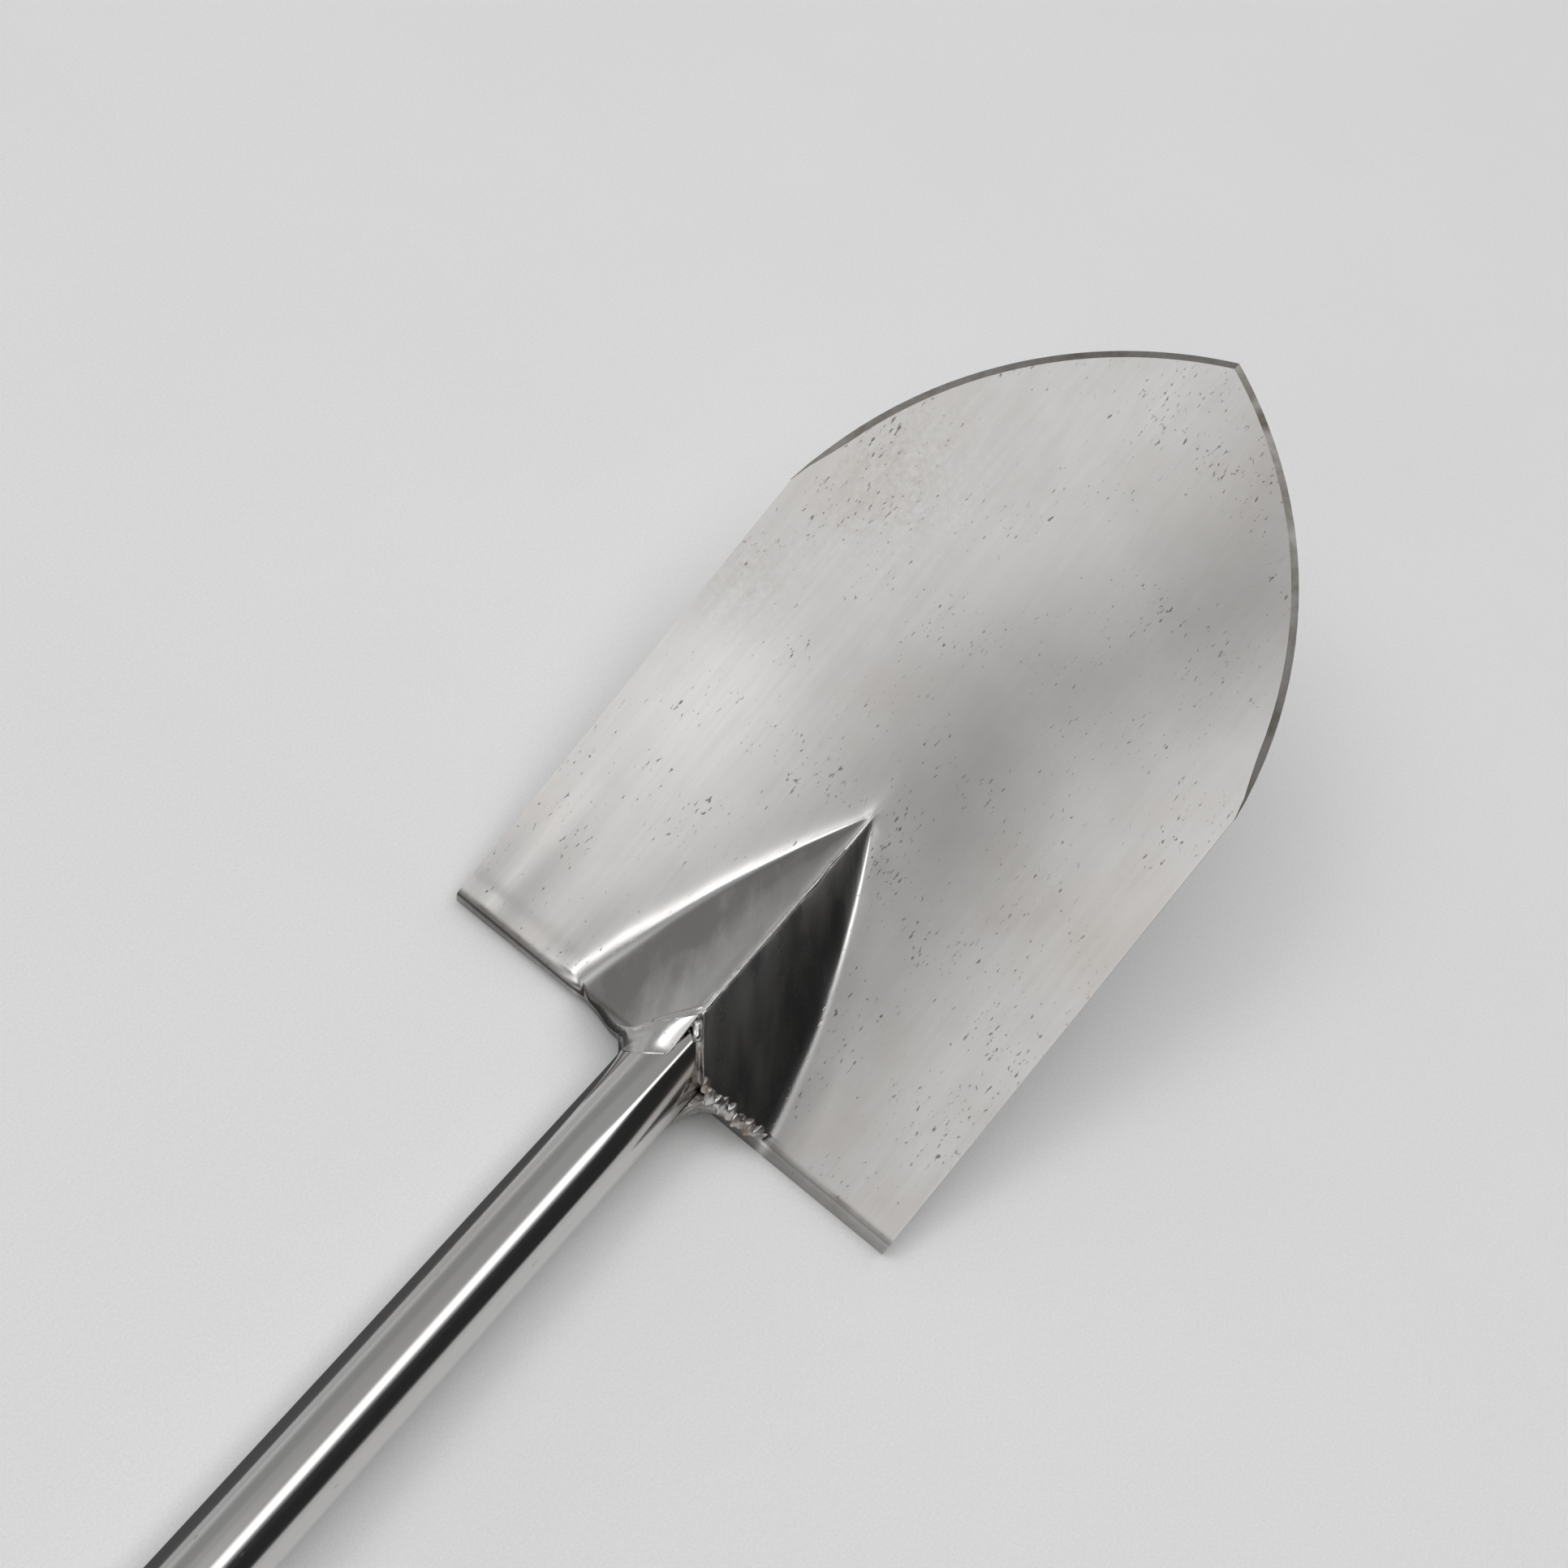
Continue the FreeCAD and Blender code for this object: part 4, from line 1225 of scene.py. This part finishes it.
class SHOVEL_OT_grips(bpy.types.Operator):
    """Ribbed rubber sleeves with an end bead"""

    bl_idname = "shovel.grips"
    bl_label = "Grips"

    def execute(self, context):
        material = grip_rubber()
        for side, word in ((1, "left"), (-1, "right")):
            grip = turned(f"grip_{word}_sleeve", self.outline(word), 96)
            in_edit_mode(grip, join_end_rings)
            shade(grip, 35)
            settle(grip, side_frame(side), [f"grip_{word}"], material)
        return {"FINISHED"}

    def outline(self, word):
        """(along, radius) pairs from the inner end over the ribs and bead and back down the bore."""
        handle = sizes("handle")
        low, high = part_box(f"grip_{word}")
        ends = sorted((abs(low.y), abs(high.y)))
        bead_radius = (high.z - low.z) / 2
        outer = bead_radius - handle.bead_rise
        inner = sizes("shaft").tube_outer / 2 + 0.00015
        start, stop = ends
        lip = 0.0006
        points = [(start, inner + lip), (start, outer - lip), (start + lip / 3, outer - lip / 3)]
        points.append((start + lip, outer))
        ribbed = stop - handle.bead_width - start - 0.004
        pitch = ribbed / handle.ribs
        for rib in range(handle.ribs):
            foot = start + 0.003 + rib * pitch
            for share, depth in ((0.0, 0), (0.12, 0.6), (0.22, 1), (0.36, 1), (0.46, 0.6), (0.58, 0)):
                points.append((foot + share * pitch, outer - depth * handle.rib_depth))
        bead = stop - handle.bead_width
        points += [(bead - 0.0004, outer), (bead, outer + 0.0004), (bead + 0.0004, bead_radius - 0.0004)]
        points += [(bead + 0.001, bead_radius), (stop - 0.001, bead_radius)]
        points += [(stop - 0.0004, bead_radius - 0.0003), (stop, bead_radius - 0.001)]
        return points + [(stop, inner + lip), (stop - lip, inner), (start + lip, inner)]


class SHOVEL_OT_end_plugs(bpy.types.Operator):
    """Plastic plugs that close the crossbar"""

    bl_idname = "shovel.end_plugs"
    bl_label = "End plugs"

    def execute(self, context):
        material = plug_plastic()
        for side, word in ((1, "left"), (-1, "right")):
            low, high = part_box(f"end_plug_{word}")
            inner, outer = sorted((abs(low.y), abs(high.y)))
            radius = (high.z - low.z) / 2
            flange = outer - sizes("handle").plug_flange
            spigot = radius - sizes("shaft").tube_wall - 0.00015
            outline = [(inner, 0.0001), (inner, spigot - 0.001), (inner + 0.001, spigot)]
            outline += [(flange, spigot), (flange, radius - 0.0003), (flange + 0.0003, radius)]
            outline += [(outer - 0.0012, radius), (outer - 0.0005, radius - 0.0003)]
            outline += [(outer - 0.0001, radius - 0.0010), (outer, radius - 0.0018)]
            outline += [(outer, radius * 0.62), (outer - 0.0005, radius * 0.58)]
            outline += [(outer - 0.0005, radius * 0.2), (outer - 0.0005, 0.0001)]
            plug = turned(f"end_plug_{word}_cap", outline, 96)
            close_ends(plug)
            shade(plug, 40)
            settle(plug, side_frame(side), [f"end_plug_{word}"], material)
        return {"FINISHED"}


# Directions of the painted room. Turns are degrees round X: 0 is up, more is to the left.
# A band is given as where it starts, is full, stops being full and ends.
OVERHEAD = Vector((-0.36, 0.12, 0.92)).normalized()
DARK_SIDE_TURNS = (-95, -85, -34, -26)
STRIP_TURNS = (-27, -23, -10, -4)
SLIM_TURNS, SLIM_REACH = (21, 27, 38, 46), (-0.55, -0.42, 0.02, 0.10)
LEFT_TURNS = (28, 42, 180, 181)
# Place, aim and size of the lamp and of the black card of painted shade.
KEY_LAMP = ((0.1, 0.1, 2.2), (0.1, 0.1, 0), (2.4, 2.4))
PAINTED_SHADE_CARD = ((-0.17, 0.416, 0.0006), (-0.17, 0.416, 1), (0.74, 0.80))


class SHOVEL_OT_stage(bpy.types.Operator):
    """Pale floor, soft light and the camera"""

    bl_idname = "shovel.stage"
    bl_label = "Stage"

    def execute(self, context):
        stage = sizes("stage")
        floor = start_piece("floor", bpy.ops.mesh.primitive_plane_add, size=400)
        floor.data.materials.append(floor_paint())
        self.surroundings(stage)
        self.lamp("key", *KEY_LAMP, stage.key)
        # A black card of painted shade, seen only in the metal's reflections.
        self.flag("painted_floor_shade", *PAINTED_SHADE_CARD)
        self.camera(stage)
        context.scene.view_settings.view_transform = "Standard"
        return {"FINISHED"}

    def surroundings(self, stage):
        """A pale room: wide light overhead, a narrow one past the blade, a dark right side."""
        world = bpy.data.worlds.new("plain_surroundings")
        world.use_nodes = True
        sky = Finish.on_tree(world.node_tree)
        times, plus = sky.times, sky.plus
        direction = sky.node("TexCoord").outputs["Generated"]
        parts = sky.node("SeparateXYZ", direction).outputs
        turn = sky.maths("DEGREES", sky.maths("ARCTAN2", parts["Y"], parts["Z"]))
        facing = sky.node("VectorMath", direction, OVERHEAD, operation="DOT_PRODUCT").outputs["Value"]
        wide = sky.between(facing, 0.80, 0.95, 0.0, stage.overhead, "SMOOTHSTEP")
        left = times(sky.hill(turn, 70, 8), 0.27)
        left = sky.minus(left, times(sky.band(turn, *LEFT_TURNS), 0.08))
        walls = sky.between(parts["Z"], 0.10, 0.26, 0.20, 0.0, "SMOOTHSTEP")
        level = plus(plus(wide, stage.daylight), plus(left, walls))
        above_floor = sky.between(parts["Z"], 0.10, 0.19, 0.0, 0.93)
        level = times(level, sky.minus(1.0, times(sky.band(turn, *DARK_SIDE_TURNS), above_floor)))
        beyond = sky.between(parts["X"], -0.20, -0.08, 0.0, stage.strip, "SMOOTHSTEP")
        strip = times(sky.band(turn, *STRIP_TURNS), beyond)
        slim = times(sky.band(parts["X"], *SLIM_REACH), sky.band(turn, *SLIM_TURNS))
        level = plus(level, plus(strip, times(slim, stage.rims)))
        path = sky.node("LightPath").outputs
        seen = sky.maths("MAXIMUM", path["Is Camera Ray"], path["Is Transmission Ray"])
        level = sky.node("Mix", seen, None, level, stage.backdrop).outputs[0]
        background = world.node_tree.nodes["Background"]
        background.inputs["Color"].default_value = (1, 1, 1, 1)
        world.node_tree.links.new(level, background.inputs["Strength"])
        bpy.context.scene.world = world

    def aimed(self, place, aim):
        turn = (Vector(aim) - Vector(place)).to_track_quat("-Z", "Y")
        return Matrix.Translation(Vector(place)) @ turn.to_matrix().to_4x4()

    def lamp(self, name, place, aim, extent, power):
        lamp = bpy.data.lights.new(name, "AREA")
        lamp.shape = "RECTANGLE"
        lamp.size, lamp.size_y = extent
        lamp.energy = power
        made = bpy.data.objects.new(name, lamp)
        bpy.context.scene.collection.objects.link(made)
        made.matrix_world = self.aimed(place, aim)
        made.visible_glossy = False

    def flag(self, name, place, aim, extent):
        """A black card that only the polished metal sees: painted shade, a dark sheet on the floor along
        the left of the shaft that stands in for the floor's shade in reflections.
        """
        card = start_piece(name, bpy.ops.mesh.primitive_plane_add, size=1)
        card.data.transform(Matrix.Diagonal((*extent, 1, 1)))
        card.data.transform(self.aimed(place, aim))
        black = Finish(name, 0.0, 1.0)
        black.shader.inputs["Base Color"].default_value = (0.09, 0.09, 0.09, 1)
        card.data.materials.append(black.material)
        card.visible_camera = False
        card.visible_diffuse = False
        card.visible_shadow = False

    def camera(self, stage):
        camera = bpy.data.cameras.new("camera")
        camera.lens = stage.camera_lens
        made = bpy.data.objects.new("camera", camera)
        bpy.context.scene.collection.objects.link(made)
        roll = Matrix.Rotation(stage.camera_roll, 4, "Z")
        made.matrix_world = self.aimed(stage.camera_place, stage.camera_aim) @ roll
        bpy.context.scene.camera = made


OPERATORS = (
    SHOVEL_OT_blade,
    SHOVEL_OT_ridge_weld,
    SHOVEL_OT_shaft,
    SHOVEL_OT_neck_welds,
    SHOVEL_OT_crossbar,
    SHOVEL_OT_grips,
    SHOVEL_OT_end_plugs,
    SHOVEL_OT_stage,
)


class SHOVEL_PT_panel(bpy.types.Panel):
    bl_label = "Detecting shovel"
    bl_idname = "SHOVEL_PT_panel"
    bl_space_type = "VIEW_3D"
    bl_region_type = "UI"
    bl_category = "Shovel"

    def draw(self, context):
        for operator in OPERATORS:
            self.layout.operator(operator.bl_idname)


PROPERTY_GROUPS = {
    "blade": BladeSizes,
    "frog": FrogSizes,
    "shaft": ShaftSizes,
    "handle": HandleSizes,
    "finish": Finishes,
    "stage": StageSizes,
}


def register():
    for group in PROPERTY_GROUPS.values():
        bpy.utils.register_class(group)
    for name, group in PROPERTY_GROUPS.items():
        setattr(bpy.types.Scene, "shovel_" + name, PointerProperty(type=group))
    for operator in OPERATORS:
        bpy.utils.register_class(operator)
    bpy.utils.register_class(SHOVEL_PT_panel)


def unregister():
    bpy.utils.unregister_class(SHOVEL_PT_panel)
    for operator in reversed(OPERATORS):
        bpy.utils.unregister_class(operator)
    for name, group in PROPERTY_GROUPS.items():
        delattr(bpy.types.Scene, "shovel_" + name)
        bpy.utils.unregister_class(group)


def main():
    register()
    bpy.ops.shovel.blade()
    bpy.ops.shovel.ridge_weld()
    bpy.ops.shovel.shaft()
    bpy.ops.shovel.neck_welds()
    bpy.ops.shovel.crossbar()
    bpy.ops.shovel.grips()
    bpy.ops.shovel.end_plugs()
    bpy.ops.shovel.stage()


if __name__ == "__main__":
    main()
